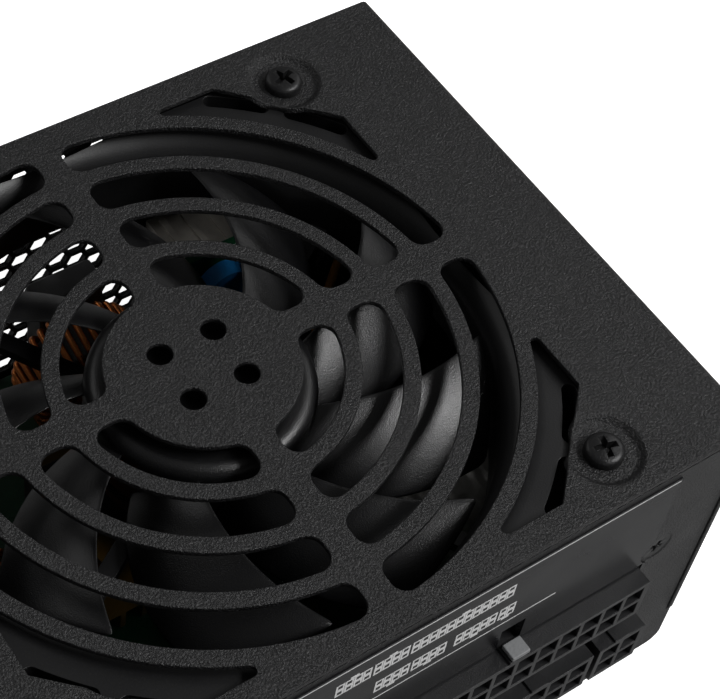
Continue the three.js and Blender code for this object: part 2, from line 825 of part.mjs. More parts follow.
function boardScrew() {
  const body = turned([
    [0, boardUnder - 3],
    [1.2, boardUnder - 3],
    [1.2, boardTop],
    [2.7, boardTop],
    [2.7, boardTop + 0.6],
    [2, boardTop + 1.5],
    [0, boardTop + 1.6],
  ], 16);
  return cut(body, ...crossRecess(2.8, 0.8, 0, 3).map((bar) => bar.translate(0, 0, boardTop + 0.7)));
}

// a wound ring: the core, and the winding as a sleeve that leaves one gap
const windingWall = 1.6;

function ringCore(outer, inner, width) {
  const h = width / 2;
  return turned([[inner, -h], [outer, -h], [outer, h], [inner, h], [inner, -h]], 24);
}

function ringWinding(outer, inner, width, openAngle) {
  const g = slack;
  const w = windingWall + g;
  const sleeve = cut(
    ringCore(outer + w, inner - w, width + 2 * w),
    ringCore(outer + g, inner - g, width + 2 * g),
  );
  const reach = outer + w + 2;
  const a = openAngle / 2;
  const wedge = plate(polygon([
    [0, 0], [reach * Math.cos(a) * 2, -reach * Math.sin(a) * 2],
    [reach * Math.cos(a) * 2, reach * Math.sin(a) * 2],
  ]), -width, width);
  return cut(sleeve, wedge);
}

// a ferrite core of two E halves round one winding
const transformer = { x: -8, y: 6, width: 32, depth: 24, height: 28 };

function transformerCore() {
  const { x, y, width, depth, height } = transformer;
  const body = centred(x, width, y - depth / 4, y + depth / 4, boardTop + 2, boardTop + height);
  const windows = [-1, 1].map((side) => centred(x + side * width * 0.27, width * 0.26,
    y - depth, y + depth, boardTop + 6, boardTop + height - 4));
  return cut(body, ...windows);
}

function transformerWinding() {
  const { x, y, width, depth, height } = transformer;
  const low = boardTop + 6 + slack;
  const high = boardTop + height - 4 - slack;
  const outer = centred(x, width * 0.8 - 2 * slack, y - depth / 2, y + depth / 2, low, high);
  const leg = centred(x, width * 0.28 + 2 * slack, y - depth / 4 - slack, y + depth / 4 + slack,
    low - 1, high + 1);
  const pins = [];
  for (const side of [-1, 1]) {
    for (let i = -2; i <= 2; i += 1) {
      const py = y + side * (depth / 2 - 1.5);
      pins.push(centred(x + i * 4, 1, py - 0.5, py + 0.5, boardTop, low + 1));
    }
  }
  return join(cut(outer, leg), ...pins);
}

const bulk = { x: 29, y: -22, radius: 12, length: 38 };

function bulkCapacitor() {
  const { x, y, radius, length } = bulk;
  const z = boardTop + radius;
  return join(
    rodX(radius, x - length / 2, x + length / 2, y, z, 40),
    centred(x, length - 6, y - 4, y + 4, boardTop, z),
  );
}

function heatsink(x0, x1, y, height, fins, facing) {
  const base = block(x0, x1, y, y + 2.4, boardTop, boardTop + height);
  const blades = [];
  for (let i = 0; i < fins; i += 1) {
    const z = boardTop + 4 + (i * (height - 5)) / (fins - 1);
    const y0 = facing < 0 ? y - 4.5 : y + 2;
    blades.push(block(x0, x1, y0, y0 + 4.9, z - 0.6, z + 0.6));
  }
  return join(base, ...blades);
}

function powerTransistor(x, y, z) {
  const body = centred(x, 10, y, y + 4.4, z, z + 15);
  const legs = [-1, 0, 1].map((i) => centred(x + i * 2.5, 0.9, y + 2, y + 2.6, boardTop, z + 1));
  return join(body, ...legs);
}

function canCapacitor(radius, height) {
  const crimp = height * 0.12;
  return turned([
    [0, 0], [radius, 0], [radius, crimp], [radius - 0.4, crimp + 0.5], [radius, crimp + 1],
    [radius, height - 0.5], [radius - 0.6, height], [0, height],
  ], 20);
}

const inputBoard = { x0: 14, x1: 44, y: inletBack - 1.2 - 1.6, top: 39 };

function inputBoardPlate() {
  const { x0, x1, y, top } = inputBoard;
  return block(x0, x1, y, y + 1.6, boardTop, top);
}

function discCapacitor() {
  const y = inputBoard.y;
  const disc = rodY(4.6, y - 4.2, y - 1, 23.5, 33, 28);
  const legs = [-1, 1].map((side) => (
    centred(23.5 + side * 2.2, 0.7, y - 2.6, y, 28.3, 29)
  ));
  return join(disc, ...legs);
}

function filterCapacitor() {
  return block(-4, 8, 42.2, 47.4, boardTop, 31);
}

// a pair of wires as one smooth tube through given points
function wire(points, radius) {
  const curve = new THREE.CatmullRomCurve3(points.map((p) => new THREE.Vector3(...p)));
  const outline = regular(radius, 8, 0, 0);
  return new THREE.ExtrudeGeometry(outline, { steps: 20, bevelEnabled: false, extrudePath: curve });
}

const headerTop = boardTop + 6;
const fanHeader = { x: -52, y: 30 };

function fanLead() {
  const { x, y } = fanHeader;
  return wire([
    [fanX - 26, fanY + 26, fanUnder - 1.2],
    [-38, 32, fanUnder - 3],
    [-48, 33, 34],
    [-52.5, 31.5, 24],
    [x, y, headerTop + slack],
  ], 0.9);
}

function switchLead() {
  return wire([
    [switchX - 2, rearIn - switchDepth - slack, switchZ + 2],
    [52.5, 30, 43],
    [45.4, 26.4, 33.6],
    [36, 19, 27],
    [31, 14, 15],
    [30, 12, boardTop + slack],
  ], 0.9);
}

// ---- The assembly ----

const group = new THREE.Group();

function finish(color, roughness, metalness) {
  return new THREE.MeshStandardMaterial({ color, roughness, metalness });
}

function add(name, geometry, material, place = [0, 0, 0], turn = [0, 0, 0]) {
  const mesh = new THREE.Mesh(geometry, material);
  mesh.name = name;
  mesh.position.set(...place);
  mesh.rotation.set(...turn);
  group.add(mesh);
}

const paint = () => finish(0x26272a, 0.7, 0.2);
const blackPlastic = () => finish(0x101113, 0.5, 0);
const blackScrew = () => finish(0x17181a, 0.35, 0.7);
const steel = () => finish(0xb9bcc0, 0.3, 0.9);
const copper = () => finish(0xb4602c, 0.4, 0.6);
const ferrite = () => finish(0x3a3b3e, 0.7, 0.1);
const green = () => finish(0x0f5a36, 0.5, 0);
const aluminium = () => finish(0xa6a9ad, 0.45, 0.8);

add('top_cover', topCover(), paint());
add('bottom_tray', bottomTray(), paint());
add('front_label', frontLabel(), finish(0x1b1b1c, 0.25, 0));

// fan screws: the head stands on the pressed pad, the shank goes into the fan
const panHeadHeight = 2;
const panLength = 9;
const padFloor = caseHeight - padDepth;
corners.forEach(([sx, sy], i) => {
  add(`fan_screw_${i + 1}`, panScrew(panHeadHeight, panLength), blackScrew(),
    [fanX + sx * screwAt, fanY + sy * screwAt, padFloor + panHeadHeight]);
});

const flatLength = 5;
const sink = 0.15;
const wallScrews = [
  ['case_screw_front_right', frontScrewX, frontOut + sink, frontScrewZ, quarter],
  ['case_screw_front_left', -frontScrewX, frontOut + sink, frontScrewZ, quarter],
  ['case_screw_rear_right', rearScrewX, rearOut - sink, rearScrewZ, -quarter],
  ['case_screw_rear_left', -rearScrewX, rearOut - sink, rearScrewZ, -quarter],
];
for (const [name, x, y, z, turn] of wallScrews) {
  add(name, flatScrew(flatLength), blackScrew(), [x, y, z], [turn, 0, 0]);
}

add('fan_frame', fanFrame(), blackPlastic(), [fanX, fanY, 0]);
add('fan_bearing', fanBearing(), finish(0xb08d4a, 0.35, 0.8), [fanX, fanY, 0]);
add('fan_stator', fanStator(), copper(), [fanX, fanY, 0]);
add('fan_rotor', fanRotor(), blackPlastic(), [fanX, fanY, 0]);
add('rotor_magnet', rotorMagnet(), ferrite(), [fanX, fanY, 0]);
add('rotor_shaft', rod(shaftRadius, fanUnder + 1, fanUnder + 10, 0, 0, 32), steel(), [fanX, fanY, 0]);

for (const socket of sockets) {
  const { name, columns, right, under } = socket;
  add(name, socketHousing(columns), blackPlastic(), [right, 0, under]);
}

add('ac_inlet', acInlet(), blackPlastic());
['pin_neutral', 'pin_earth', 'pin_live'].forEach((name, i) => {
  add(`inlet_${name}`, inletPin(pinSites[i]), steel());
});
add('inlet_shield', inletShield(), aluminium());
add('switch_housing', switchHousing(), blackPlastic());
add('switch_rocker', switchRocker(), finish(0x0c0c0d, 0.3, 0),
  [switchX, rockerPivotY, switchZ], [THREE.MathUtils.degToRad(-rockerTilt), 0, 0]);

add('main_board', mainBoard(), green());
add('insulation_sheet', insulationSheet(), finish(0x202124, 0.4, 0));
corners.forEach(([sx, sy], i) => {
  const place = [sx * standoffX, sy * standoffY, 0];
  add(`standoff_${i + 1}`, standoffPost(), finish(0xb08d4a, 0.35, 0.8), place);
  add(`board_screw_${i + 1}`, boardScrew(), steel(), place);
});

const modularY = housingBack;
add('modular_board', block(-54, 54, modularY, modularY + board, boardTop, modularBoardTop), green());

const choke = { outer: 10.2, inner: 5.6, width: 8 };
const chokeZ = boardTop + choke.outer + windingWall + slack;
add('input_choke_core', ringCore(choke.outer, choke.inner, choke.width), ferrite(),
  [0, 34.5, chokeZ], [quarter, 0, 0]);
add('input_choke_winding', ringWinding(choke.outer, choke.inner, choke.width, 0.5), copper(),
  [0, 34.5, chokeZ], [quarter, 0, 0]);
const outputChokeZ = boardTop + choke.width / 2 + windingWall + slack;
add('output_choke_core', ringCore(choke.outer, choke.inner, choke.width), ferrite(),
  [-38, 6, outputChokeZ]);
add('output_choke_winding', ringWinding(choke.outer, choke.inner, choke.width, 0.5), copper(),
  [-38, 6, outputChokeZ]);

add('transformer_core', transformerCore(), ferrite());
add('transformer_winding', transformerWinding(), finish(0xd9b23c, 0.5, 0));
add('bulk_capacitor', bulkCapacitor(), finish(0xb9bbb8, 0.5, 0.1));
add('heatsink_primary', heatsink(12, 44, 2, 30, 6, 1), aluminium());
add('power_transistor', powerTransistor(22, -2.4, boardTop + 5), blackPlastic());
add('heatsink_secondary', heatsink(-56, -28, -11, 26, 5, -1), aluminium());
[-46, -30].forEach((x, i) => {
  add(`output_capacitor_${i + 1}`, canCapacitor(5, 18), finish(0x222a3a, 0.45, 0.1),
    [x, -28, boardTop]);
});
add('input_board', inputBoardPlate(), green());
add('disc_capacitor', discCapacitor(), finish(0x1f7fc4, 0.4, 0));
add('filter_capacitor', filterCapacitor(), finish(0x6d6e70, 0.5, 0));
add('fan_header', block(fanHeader.x - 3, fanHeader.x + 3, fanHeader.y - 2.5, fanHeader.y + 2.5,
  boardTop, headerTop), finish(0xe8e6dc, 0.5, 0));
add('fan_lead', fanLead(), blackPlastic());
add('switch_lead', switchLead(), finish(0xd98b2b, 0.5, 0));

export default group;
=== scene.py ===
# A small form factor power supply, with its fan grille on top and its cable sockets in front.
import bpy
import bmesh
import math
from mathutils import Matrix, Vector


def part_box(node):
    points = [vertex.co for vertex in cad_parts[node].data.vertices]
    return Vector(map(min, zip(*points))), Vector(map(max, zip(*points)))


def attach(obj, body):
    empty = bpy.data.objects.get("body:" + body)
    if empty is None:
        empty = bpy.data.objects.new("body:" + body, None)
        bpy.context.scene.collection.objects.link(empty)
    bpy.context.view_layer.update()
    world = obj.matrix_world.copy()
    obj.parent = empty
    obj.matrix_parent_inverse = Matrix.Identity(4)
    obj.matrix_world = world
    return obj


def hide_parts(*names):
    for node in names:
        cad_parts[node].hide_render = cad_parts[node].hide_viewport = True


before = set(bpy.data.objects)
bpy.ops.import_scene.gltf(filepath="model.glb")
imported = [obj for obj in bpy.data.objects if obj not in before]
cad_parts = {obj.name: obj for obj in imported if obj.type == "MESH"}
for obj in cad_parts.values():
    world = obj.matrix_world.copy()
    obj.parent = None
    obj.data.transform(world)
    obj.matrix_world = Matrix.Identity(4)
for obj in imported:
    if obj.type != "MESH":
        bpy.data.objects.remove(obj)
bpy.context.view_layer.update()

# ---- Camera ----
# A long lens close above the near left edge, looking down over the fan towards the far right corner.
MM = 0.001
lid_low, lid_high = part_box("top_cover")
fan_low, fan_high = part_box("fan_frame")
fan_x = (fan_low.x + fan_high.x) / 2 / MM
fan_y = (fan_low.y + fan_high.y) / 2 / MM
top = lid_high.z / MM
camera_right = Vector((0.8129, -0.5699, 0.1203)).normalized()
camera_ahead = Vector((0.4258, 0.4404, -0.7903)).normalized()
camera_up = camera_right.cross(camera_ahead).normalized()
camera_from_fan = (-102.6, -137.0, 229.35)
lens_length = 100.25


def placed(name, data):
    """A new object in the scene."""
    made = bpy.data.objects.new(name, data)
    bpy.context.scene.collection.objects.link(made)
    return made


camera_data = bpy.data.cameras.new("camera")
camera_data.sensor_width = 36
camera_data.lens = lens_length
camera_data.clip_start = 0.01
camera = placed("camera", camera_data)
camera_spot = Vector([at + away for at, away in zip((fan_x, fan_y, top), camera_from_fan)]) * MM
turn = Matrix((camera_right, camera_up, -camera_ahead)).transposed().to_4x4()
camera.matrix_world = Matrix.Translation(camera_spot) @ turn
bpy.context.scene.camera = camera

# ---- Studio: a pale floor, a pale room, and three soft lamps ----


def plain_material(name, colour, roughness, metallic=0.0):
    made = bpy.data.materials.new(name)
    made.use_nodes = True
    shader = made.node_tree.nodes["Principled BSDF"]
    shader.inputs["Base Color"].default_value = (*colour, 1)
    shader.inputs["Roughness"].default_value = roughness
    shader.inputs["Metallic"].default_value = metallic
    return made, shader


def two_levels(tree, low, high, target):
    """Gives a socket one level for light that bounces and another for what the camera sees."""
    seen = tree.nodes.new("ShaderNodeLightPath")
    levels = tree.nodes.new("ShaderNodeMapRange")
    levels.inputs["To Min"].default_value = low
    levels.inputs["To Max"].default_value = high
    tree.links.new(seen.outputs["Is Camera Ray"], levels.inputs["Value"])
    tree.links.new(levels.outputs[0], target)


floor_mesh = bpy.data.meshes.new("floor")
reach = 3.0
floor_mesh.from_pydata(
    [(-reach, -reach, 0), (reach, -reach, 0), (reach, reach, 0), (-reach, reach, 0)],
    [], [(0, 1, 2, 3)])
floor = placed("floor", floor_mesh)
floor_finish, floor_shader = plain_material("floor_white", (0.92, 0.92, 0.92), 0.9)
floor_shader.inputs["Emission Color"].default_value = (1, 1, 1, 1)
two_levels(floor_finish.node_tree, 0.12, 0.9, floor_shader.inputs["Emission Strength"])
two_levels(floor_finish.node_tree, 0.3, 0.92, floor_shader.inputs["Base Color"])
floor_mesh.materials.append(floor_finish)

world = bpy.data.worlds.new("studio")
world.use_nodes = True
room = world.node_tree.nodes["Background"]
room.inputs["Color"].default_value = (1.0, 1.0, 1.0, 1)
two_levels(world.node_tree, 0.1, 1.0, room.inputs["Strength"])
bpy.context.scene.world = world
bpy.context.scene.view_settings.view_transform = "Standard"


def lamp(name, spot, target, size, power, height=None):
    """A soft lamp that faces its target, square unless a height is given."""
    data = bpy.data.lights.new(name, "AREA")
    data.shape = "RECTANGLE"
    data.size = size
    data.size_y = height or size
    data.energy = power
    made = placed(name, data)
    made.location = spot
    made.rotation_mode = "QUATERNION"
    made.rotation_quaternion = (Vector(target) - Vector(spot)).to_track_quat("-Z", "Y")


lamp("lamp_key", (0.5, -0.5, 0.8), (0, 0, 0.05), 0.6, 7.5, 0.16)
lamp("lamp_back", (-0.25, 0.75, 0.55), (0, 0, 0.05), 0.5, 0.7)
lamp("lamp_right", (0.75, 0.2, 0.6), (0, 0, 0.05), 0.35, 0.8)
lamp("lamp_front", (-0.2, -0.9, 0.5), (0, 0, 0.03), 0.6, 0.4)

# ---- Lid: one sheet of steel with the pressed fan grille, black powder coat ----
# The flat and the slots are filled as one surface, the screw pads are pressed dishes in it, the sides
# are bent down, and the sheet then gets its thickness and its slightly rounded cut edges.
half_x = lid_high.x / MM
half_y = lid_high.y / MM
sheet = 1.0
bend = 1.2
lid_bottom = lid_low.z / MM
disc_radius = 14.4
slot_width = 5.9
slot_pitch = 8.5
slot_rings = 4
bridge_half = 2.2
slot_fillet = 2.3
rim_radius = 48.4
corner_edge = 45.3
corner_fillet = 0.8
screw_at = 41.25
pad_floor = 5.0
pad_top = 6.2
pad_outer = 7.4
pad_chord = 4.88
pad_depth = 1.0
quarter = math.pi / 2
quarter_turns = ((1, 0), (0, 1), (-1, 0), (0, -1))
dot_at, dot_radius = 4.5, 1.9


def arc(cx, cy, radius, start, end, steps):
    """Points along an arc, both ends included."""
    found = []
    for i in range(steps + 1):
        angle = start + (end - start) * i / steps
        found.append((cx + radius * math.cos(angle), cy + radius * math.sin(angle)))
    return found


def slot_outline(inner, outer):
    """One slot of the grille in the first quadrant, between two radii and the two bridges."""
    f = slot_fillet
    line = bridge_half + f
    outer_at = math.sqrt((outer - f) ** 2 - line ** 2)
    inner_at = math.sqrt((inner + f) ** 2 - line ** 2)
    outer_turn = math.atan2(line, outer_at)
    inner_turn = math.atan2(line, inner_at)
    steps = round(math.degrees(quarter - 2 * outer_turn) / 2.5)
    return (
        arc(outer_at, line, f, -quarter, outer_turn, 8)
        + arc(0, 0, outer, outer_turn, quarter - outer_turn, steps)[1:-1]
        + arc(line, outer_at, f, quarter - outer_turn, math.pi, 8)
        + arc(line, inner_at, f, math.pi, math.pi + quarter - inner_turn, 5)
        + arc(0, 0, inner, quarter - inner_turn, inner_turn, steps)[1:-1]
        + arc(inner_at, line, f, math.pi + inner_turn, math.pi + quarter, 5)
    )


def pad_rim():
    """Where the pad's outer circle leaves and meets the chamfer, as angles about the screw."""
    back = math.pi + quarter / 2
    swing = math.acos(pad_chord / pad_outer)
    return back + swing - 2 * math.pi, back - swing


def corner_outline():
    """The corner cut-out together with the screw pad's disc, in the first quadrant."""
    f = corner_fillet
    chamfer = 2 * screw_at - pad_chord * math.sqrt(2)
    along = corner_edge - f
    tip = math.sqrt((rim_radius + f) ** 2 - along ** 2)
    turn_at = math.atan2(tip, along)
    start, end = pad_rim()
    return (
        [(corner_edge, chamfer - corner_edge)]
        + arc(screw_at, screw_at, pad_outer, start, end, 44)
        + [(chamfer - corner_edge, corner_edge)]
        + arc(tip, along, f, quarter, math.pi + quarter - turn_at, 6)
        + arc(0, 0, rim_radius, quarter - turn_at, turn_at, 16)[1:-1]
        + arc(along, tip, f, math.pi + turn_at, 2 * math.pi, 6)
    )


def pad_height(radius):
    """Height of the pressed pad's surface under the lid, at a distance from its screw."""
    ease = 0.15
    if radius <= pad_floor - ease:
        return -pad_depth
    if radius >= pad_top + ease:
        return 0.0
    share = (radius - pad_floor + ease) / (pad_top - pad_floor + 2 * ease)
    return -pad_depth * (0.5 + 0.5 * math.cos(share * math.pi))


def add_loop(bm, points, height):
    verts = [bm.verts.new((x, y, height)) for x, y in points]
    return [bm.edges.new((a, b)) for a, b in zip(verts, verts[1:] + verts[:1])]


def quadrant(points, turns):
    """The outline turned by a number of quarter turns about the fan, then placed at the fan."""
    c, s = quarter_turns[turns]
    return [(fan_x + c * x - s * y, fan_y + s * x + c * y) for x, y in points]


def add_dish(bm, turns):
    """The pressed screw pad: rings about the screw from its hole out to the disc or the chord."""
    start, end = pad_rim()
    hole = 1.8
    levels = [0.0, 0.3, 0.53, 0.57, 0.61, 0.66, 0.71, 0.76, 0.79, 0.82, 0.9, 1.0]
    turns_round = [start + (end - start) * i / 44 for i in range(45)]
    chord_turns = [end + (start + 2 * math.pi - end) * i / 16 for i in range(1, 16)]
    rings = []
    for angle in turns_round + chord_turns:
        facing = math.cos(angle - math.pi - quarter / 2)
        limit = pad_outer
        if facing > 0:
            limit = min(limit, pad_chord / facing)
        ring = []
        for level in levels:
            radius = hole + (limit - hole) * level
            x = screw_at + radius * math.cos(angle)
            y = screw_at + radius * math.sin(angle)
            height = top if level == 1 and limit == pad_outer else top + pad_height(radius)
            ring.append(((x, y), height))
        rings.append(ring)
    made = []
    for ring in rings:
        places = quadrant([p for p, _ in ring], turns)
        made.append([bm.verts.new((x, y, ring[k][1])) for k, (x, y) in enumerate(places)])
    for a, b in zip(made, made[1:] + made[:1]):
        for k in range(len(levels) - 1):
            bm.faces.new((a[k], a[k + 1], b[k + 1], b[k]))


def to_object(bm, name, body, material, smooth=True):
    """Turns mesh data in millimetres into a piece in metres that rides on a body."""
    bmesh.ops.scale(bm, vec=(MM, MM, MM), verts=bm.verts)
    mesh = bpy.data.meshes.new(name)
    bm.to_mesh(mesh)
    bm.free()
    made = placed(name, mesh)
    mesh.materials.append(material)
    for face in mesh.polygons:
        face.use_smooth = smooth
    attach(made, body)
    return made


def settle(made):
    """Applies what the modifiers make to the piece's own mesh, and takes the modifiers off."""
    depsgraph = bpy.context.evaluated_depsgraph_get()
    mesh = bpy.data.meshes.new_from_object(made.evaluated_get(depsgraph))
    made.modifiers.clear()
    old = made.data
    made.data = mesh
    mesh.name = made.name
    bpy.data.meshes.remove(old)
    return made


def round_edges(made, width, segments=2, angle=35):
    """Rounds the sharp edges by a width in millimetres, with flat faces left flat."""
    modifier = made.modifiers.new("edges", "BEVEL")
    modifier.width = width * MM
    modifier.segments = segments
    modifier.limit_method = "ANGLE"
    modifier.angle_limit = math.radians(angle)
    modifier.use_clamp_overlap = True
    evened = made.modifiers.new("evened", "WEIGHTED_NORMAL")
    evened.weight = 100
    for face in made.data.polygons:
        face.use_smooth = True
    return made


def sum_of(tree, operation, first, second):
    """A maths node on two sockets or numbers."""
    node = tree.nodes.new("ShaderNodeMath")
    node.operation = operation
    for socket, value in zip(node.inputs, (first, second)):
        if isinstance(value, (int, float)):
            socket.default_value = value
        else:
            tree.links.new(value, socket)
    return node.outputs[0]


def grain_group():
    """A fine moulded or sprayed grain: colour flecks, roughness and bumps on Object coordinates."""
    group = bpy.data.node_groups.new("fine_grain", "ShaderNodeTree")
    face = group.interface
    face.new_socket("Tone", in_out="INPUT", socket_type="NodeSocketColor")
    face.new_socket("Fleck", in_out="INPUT", socket_type="NodeSocketColor")
    for name, value in (("Size", 0.3), ("Depth", 0.3), ("Fleck Share", 0.5), ("Rough Low", 0.4),
                        ("Rough High", 0.6)):
        face.new_socket(name, in_out="INPUT", socket_type="NodeSocketFloat").default_value = value
    face.new_socket("Color", in_out="OUTPUT", socket_type="NodeSocketColor")
    face.new_socket("Roughness", in_out="OUTPUT", socket_type="NodeSocketFloat")
    face.new_socket("Normal", in_out="OUTPUT", socket_type="NodeSocketVector")
    nodes, links = group.nodes, group.links
    given = nodes.new("NodeGroupInput")
    result = nodes.new("NodeGroupOutput")
    place = nodes.new("ShaderNodeTexCoord")
    per_size = sum_of(group, "DIVIDE", 1000, given.outputs["Size"])
    fine = nodes.new("ShaderNodeTexNoise")
    fine.inputs["Detail"].default_value = 2.5
    fine.inputs["Roughness"].default_value = 0.6
    links.new(place.outputs["Object"], fine.inputs["Vector"])
    links.new(per_size, fine.inputs["Scale"])
    broad = nodes.new("ShaderNodeTexNoise")
    broad.inputs["Scale"].default_value = 90
    broad.inputs["Detail"].default_value = 3
    links.new(place.outputs["Object"], broad.inputs["Vector"])
    ramp = nodes.new("ShaderNodeMapRange")
    ramp.inputs["From Min"].default_value = 0.5
    ramp.inputs["From Max"].default_value = 0.78
    links.new(fine.outputs["Fac"], ramp.inputs["Value"])
    share = sum_of(group, "MULTIPLY", ramp.outputs[0], given.outputs["Fleck Share"])
    mix = nodes.new("ShaderNodeMix")
    mix.data_type = "RGBA"
    links.new(share, mix.inputs[0])
    links.new(given.outputs["Tone"], mix.inputs[6])
    links.new(given.outputs["Fleck"], mix.inputs[7])
    links.new(mix.outputs[2], result.inputs["Color"])
    rough = nodes.new("ShaderNodeMapRange")
    links.new(broad.outputs["Fac"], rough.inputs["Value"])
    rough.inputs["From Min"].default_value = 0.3
    rough.inputs["From Max"].default_value = 0.7
    links.new(given.outputs["Rough Low"], rough.inputs["To Min"])
    links.new(given.outputs["Rough High"], rough.inputs["To Max"])
    links.new(rough.outputs[0], result.inputs["Roughness"])
    bump = nodes.new("ShaderNodeBump")
    bump.inputs["Distance"].default_value = 0.0002
    links.new(given.outputs["Depth"], bump.inputs["Strength"])
    links.new(fine.outputs["Fac"], bump.inputs["Height"])
    links.new(bump.outputs[0], result.inputs["Normal"])
    return group


fine_grain = grain_group()


def grained(name, tone, fleck, size, depth, share, rough, metallic=0.0, specular=0.5):
    """A material whose colour, roughness and normal come from the fine grain."""
    made, shader = plain_material(name, tone, rough[0], metallic)
    shader.inputs["Specular IOR Level"].default_value = specular
    tree = made.node_tree
    node = tree.nodes.new("ShaderNodeGroup")
    node.node_tree = fine_grain
    node.inputs["Tone"].default_value = (*tone, 1)
    node.inputs["Fleck"].default_value = (*fleck, 1)
    node.inputs["Size"].default_value = size
    node.inputs["Depth"].default_value = depth
    node.inputs["Fleck Share"].default_value = share
    node.inputs["Rough Low"].default_value, node.inputs["Rough High"].default_value = rough
    tree.links.new(node.outputs["Color"], shader.inputs["Base Color"])
    tree.links.new(node.outputs["Roughness"], shader.inputs["Roughness"])
    tree.links.new(node.outputs["Normal"], shader.inputs["Normal"])
    return made


powder_coat = grained("powder_coat", (0.007, 0.007, 0.0075), (0.085, 0.085, 0.087), 0.32, 1.7, 0.55,
                      (0.34, 0.46))

bm = bmesh.new()
flat_x = half_x - bend
edges = add_loop(bm, [(-flat_x, -half_y), (flat_x, -half_y), (flat_x, half_y), (-flat_x, half_y)], top)
for turns in range(4):
    for ring in range(slot_rings):
        inner = disc_radius + ring * slot_pitch
        edges += add_loop(bm, quadrant(slot_outline(inner, inner + slot_width), turns), top)
    edges += add_loop(bm, quadrant(corner_outline(), turns), top)
    edges += add_loop(bm, quadrant(arc(dot_at, dot_at, dot_radius, 0, 2 * math.pi, 28)[:-1], turns), top)
bmesh.ops.triangle_fill(bm, use_beauty=True, use_dissolve=False, edges=edges)
for face in bm.faces:
    if face.normal.z < 0:
        face.normal_flip()
for turns in range(4):
    add_dish(bm, turns)
for side in (-1, 1):
    profile = arc(side * flat_x, top - bend, bend, quarter, 0 if side > 0 else math.pi, 8)
    profile.append((side * half_x, lid_bottom))
    near = [bm.verts.new((x, -half_y, z)) for x, z in profile]
    far = [bm.verts.new((x, half_y, z)) for x, z in profile]
    for k in range(len(profile) - 1):
        bm.faces.new((near[k], near[k + 1], far[k + 1], far[k]))
bmesh.ops.remove_doubles(bm, verts=bm.verts, dist=0.002)
bmesh.ops.recalc_face_normals(bm, faces=bm.faces)
highest = max(bm.faces, key=lambda f: f.calc_area())
if highest.normal.z < 0:
    bmesh.ops.reverse_faces(bm, faces=bm.faces)
lid = to_object(bm, "lid", "case", powder_coat)
thickness = lid.modifiers.new("thickness", "SOLIDIFY")
thickness.thickness = sheet * MM
thickness.offset = -1
thickness.use_even_offset = True
settle(lid)
round_edges(lid, 0.2, 2, 40)
lid.modifiers["edges"].use_clamp_overlap = False
settle(lid)
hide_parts("top_cover")
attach(lid, "case")

# ---- Tray: the folded bottom with its front and rear walls ----
# Its walls come from the frame. The rear wall is closed first and then punched again with the real, much
# finer field of hexagons that lets the air out; the sheet's cut edges are rounded before that.


def make_whole(mesh):
    """Merges doubled corners, and makes each flat face one face again."""
    bm = bmesh.new()
    bm.from_mesh(mesh)
    bmesh.ops.remove_doubles(bm, verts=bm.verts, dist=2e-6)
    bmesh.ops.dissolve_limit(bm, angle_limit=math.radians(0.6), verts=bm.verts, edges=bm.edges)
    bm.to_mesh(mesh)
    bm.free()


def cad_copy(node_name, name=None):
    """A merged copy of a frame node's mesh, with its flat faces made whole again."""
    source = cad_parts[node_name]
    mesh = source.data.copy()
    mesh.materials.clear()
    make_whole(mesh)
    return placed(name or node_name + "_fine", mesh)


def block(bm, x0, x1, y0, y1, z0, z1):
    """A plain block in millimetres, added to a mesh that is being built."""
    made = bmesh.ops.create_cube(bm, size=1)
    bmesh.ops.scale(bm, vec=(x1 - x0, y1 - y0, z1 - z0), verts=made["verts"])
    middle = ((x0 + x1) / 2, (y0 + y1) / 2, (z0 + z1) / 2)
    bmesh.ops.translate(bm, vec=middle, verts=made["verts"])
    return made["verts"]


def combine(made, other, how):
    """Joins, cuts or keeps what two pieces share, and drops the second one."""
    modifier = made.modifiers.new("combine", "BOOLEAN")
    modifier.operation = how
    modifier.object = other
    modifier.solver = "EXACT"
    settle(made)
    bpy.data.objects.remove(other)
    return made


def new_tree(name, sizes, pieces=()):
    """A geometry tree with named inputs: sizes are numbers, pieces are objects and materials."""
    tree = bpy.data.node_groups.new(name, "GeometryNodeTree")
    tree.interface.new_socket("Geometry", in_out="INPUT", socket_type="NodeSocketGeometry")
    for label, value in sizes:
        kind = "NodeSocketInt" if isinstance(value, int) else "NodeSocketFloat"
        tree.interface.new_socket(label, in_out="INPUT", socket_type=kind).default_value = value
    for label, kind in pieces:
        tree.interface.new_socket(label, in_out="INPUT", socket_type="NodeSocket" + kind)
    tree.interface.new_socket("Geometry", in_out="OUTPUT", socket_type="NodeSocketGeometry")
    return tree, tree.nodes.new("NodeGroupInput"), tree.nodes.new("NodeGroupOutput")


def shape_of(tree, source):
    """The geometry of an object that comes in by an input."""
    info = tree.nodes.new("GeometryNodeObjectInfo")
    tree.links.new(source, info.inputs["Object"])
    return info.outputs["Geometry"]


def grid_points(tree, given, across, up):
    """A grid of points by the inputs Columns and Rows, with a pitch for each way."""
    grid = tree.nodes.new("GeometryNodeMeshGrid")
    for pitch, count, axis in ((across, given.outputs["Columns"], "X"), (up, given.outputs["Rows"], "Y")):
        reach = sum_of(tree, "MULTIPLY", pitch, sum_of(tree, "SUBTRACT", count, 1))
        tree.links.new(reach, grid.inputs["Size " + axis])
        tree.links.new(count, grid.inputs["Vertices " + axis])
    return grid.outputs["Mesh"]


def copies_on(tree, points, piece, rotation=None):
    """Copies of a piece on points, each with its own rotation if one is given."""
    copies = tree.nodes.new("GeometryNodeInstanceOnPoints")
    tree.links.new(points, copies.inputs["Points"])
    tree.links.new(piece, copies.inputs["Instance"])
    if rotation:
        tree.links.new(rotation, copies.inputs["Rotation"])
    return copies.outputs[0]


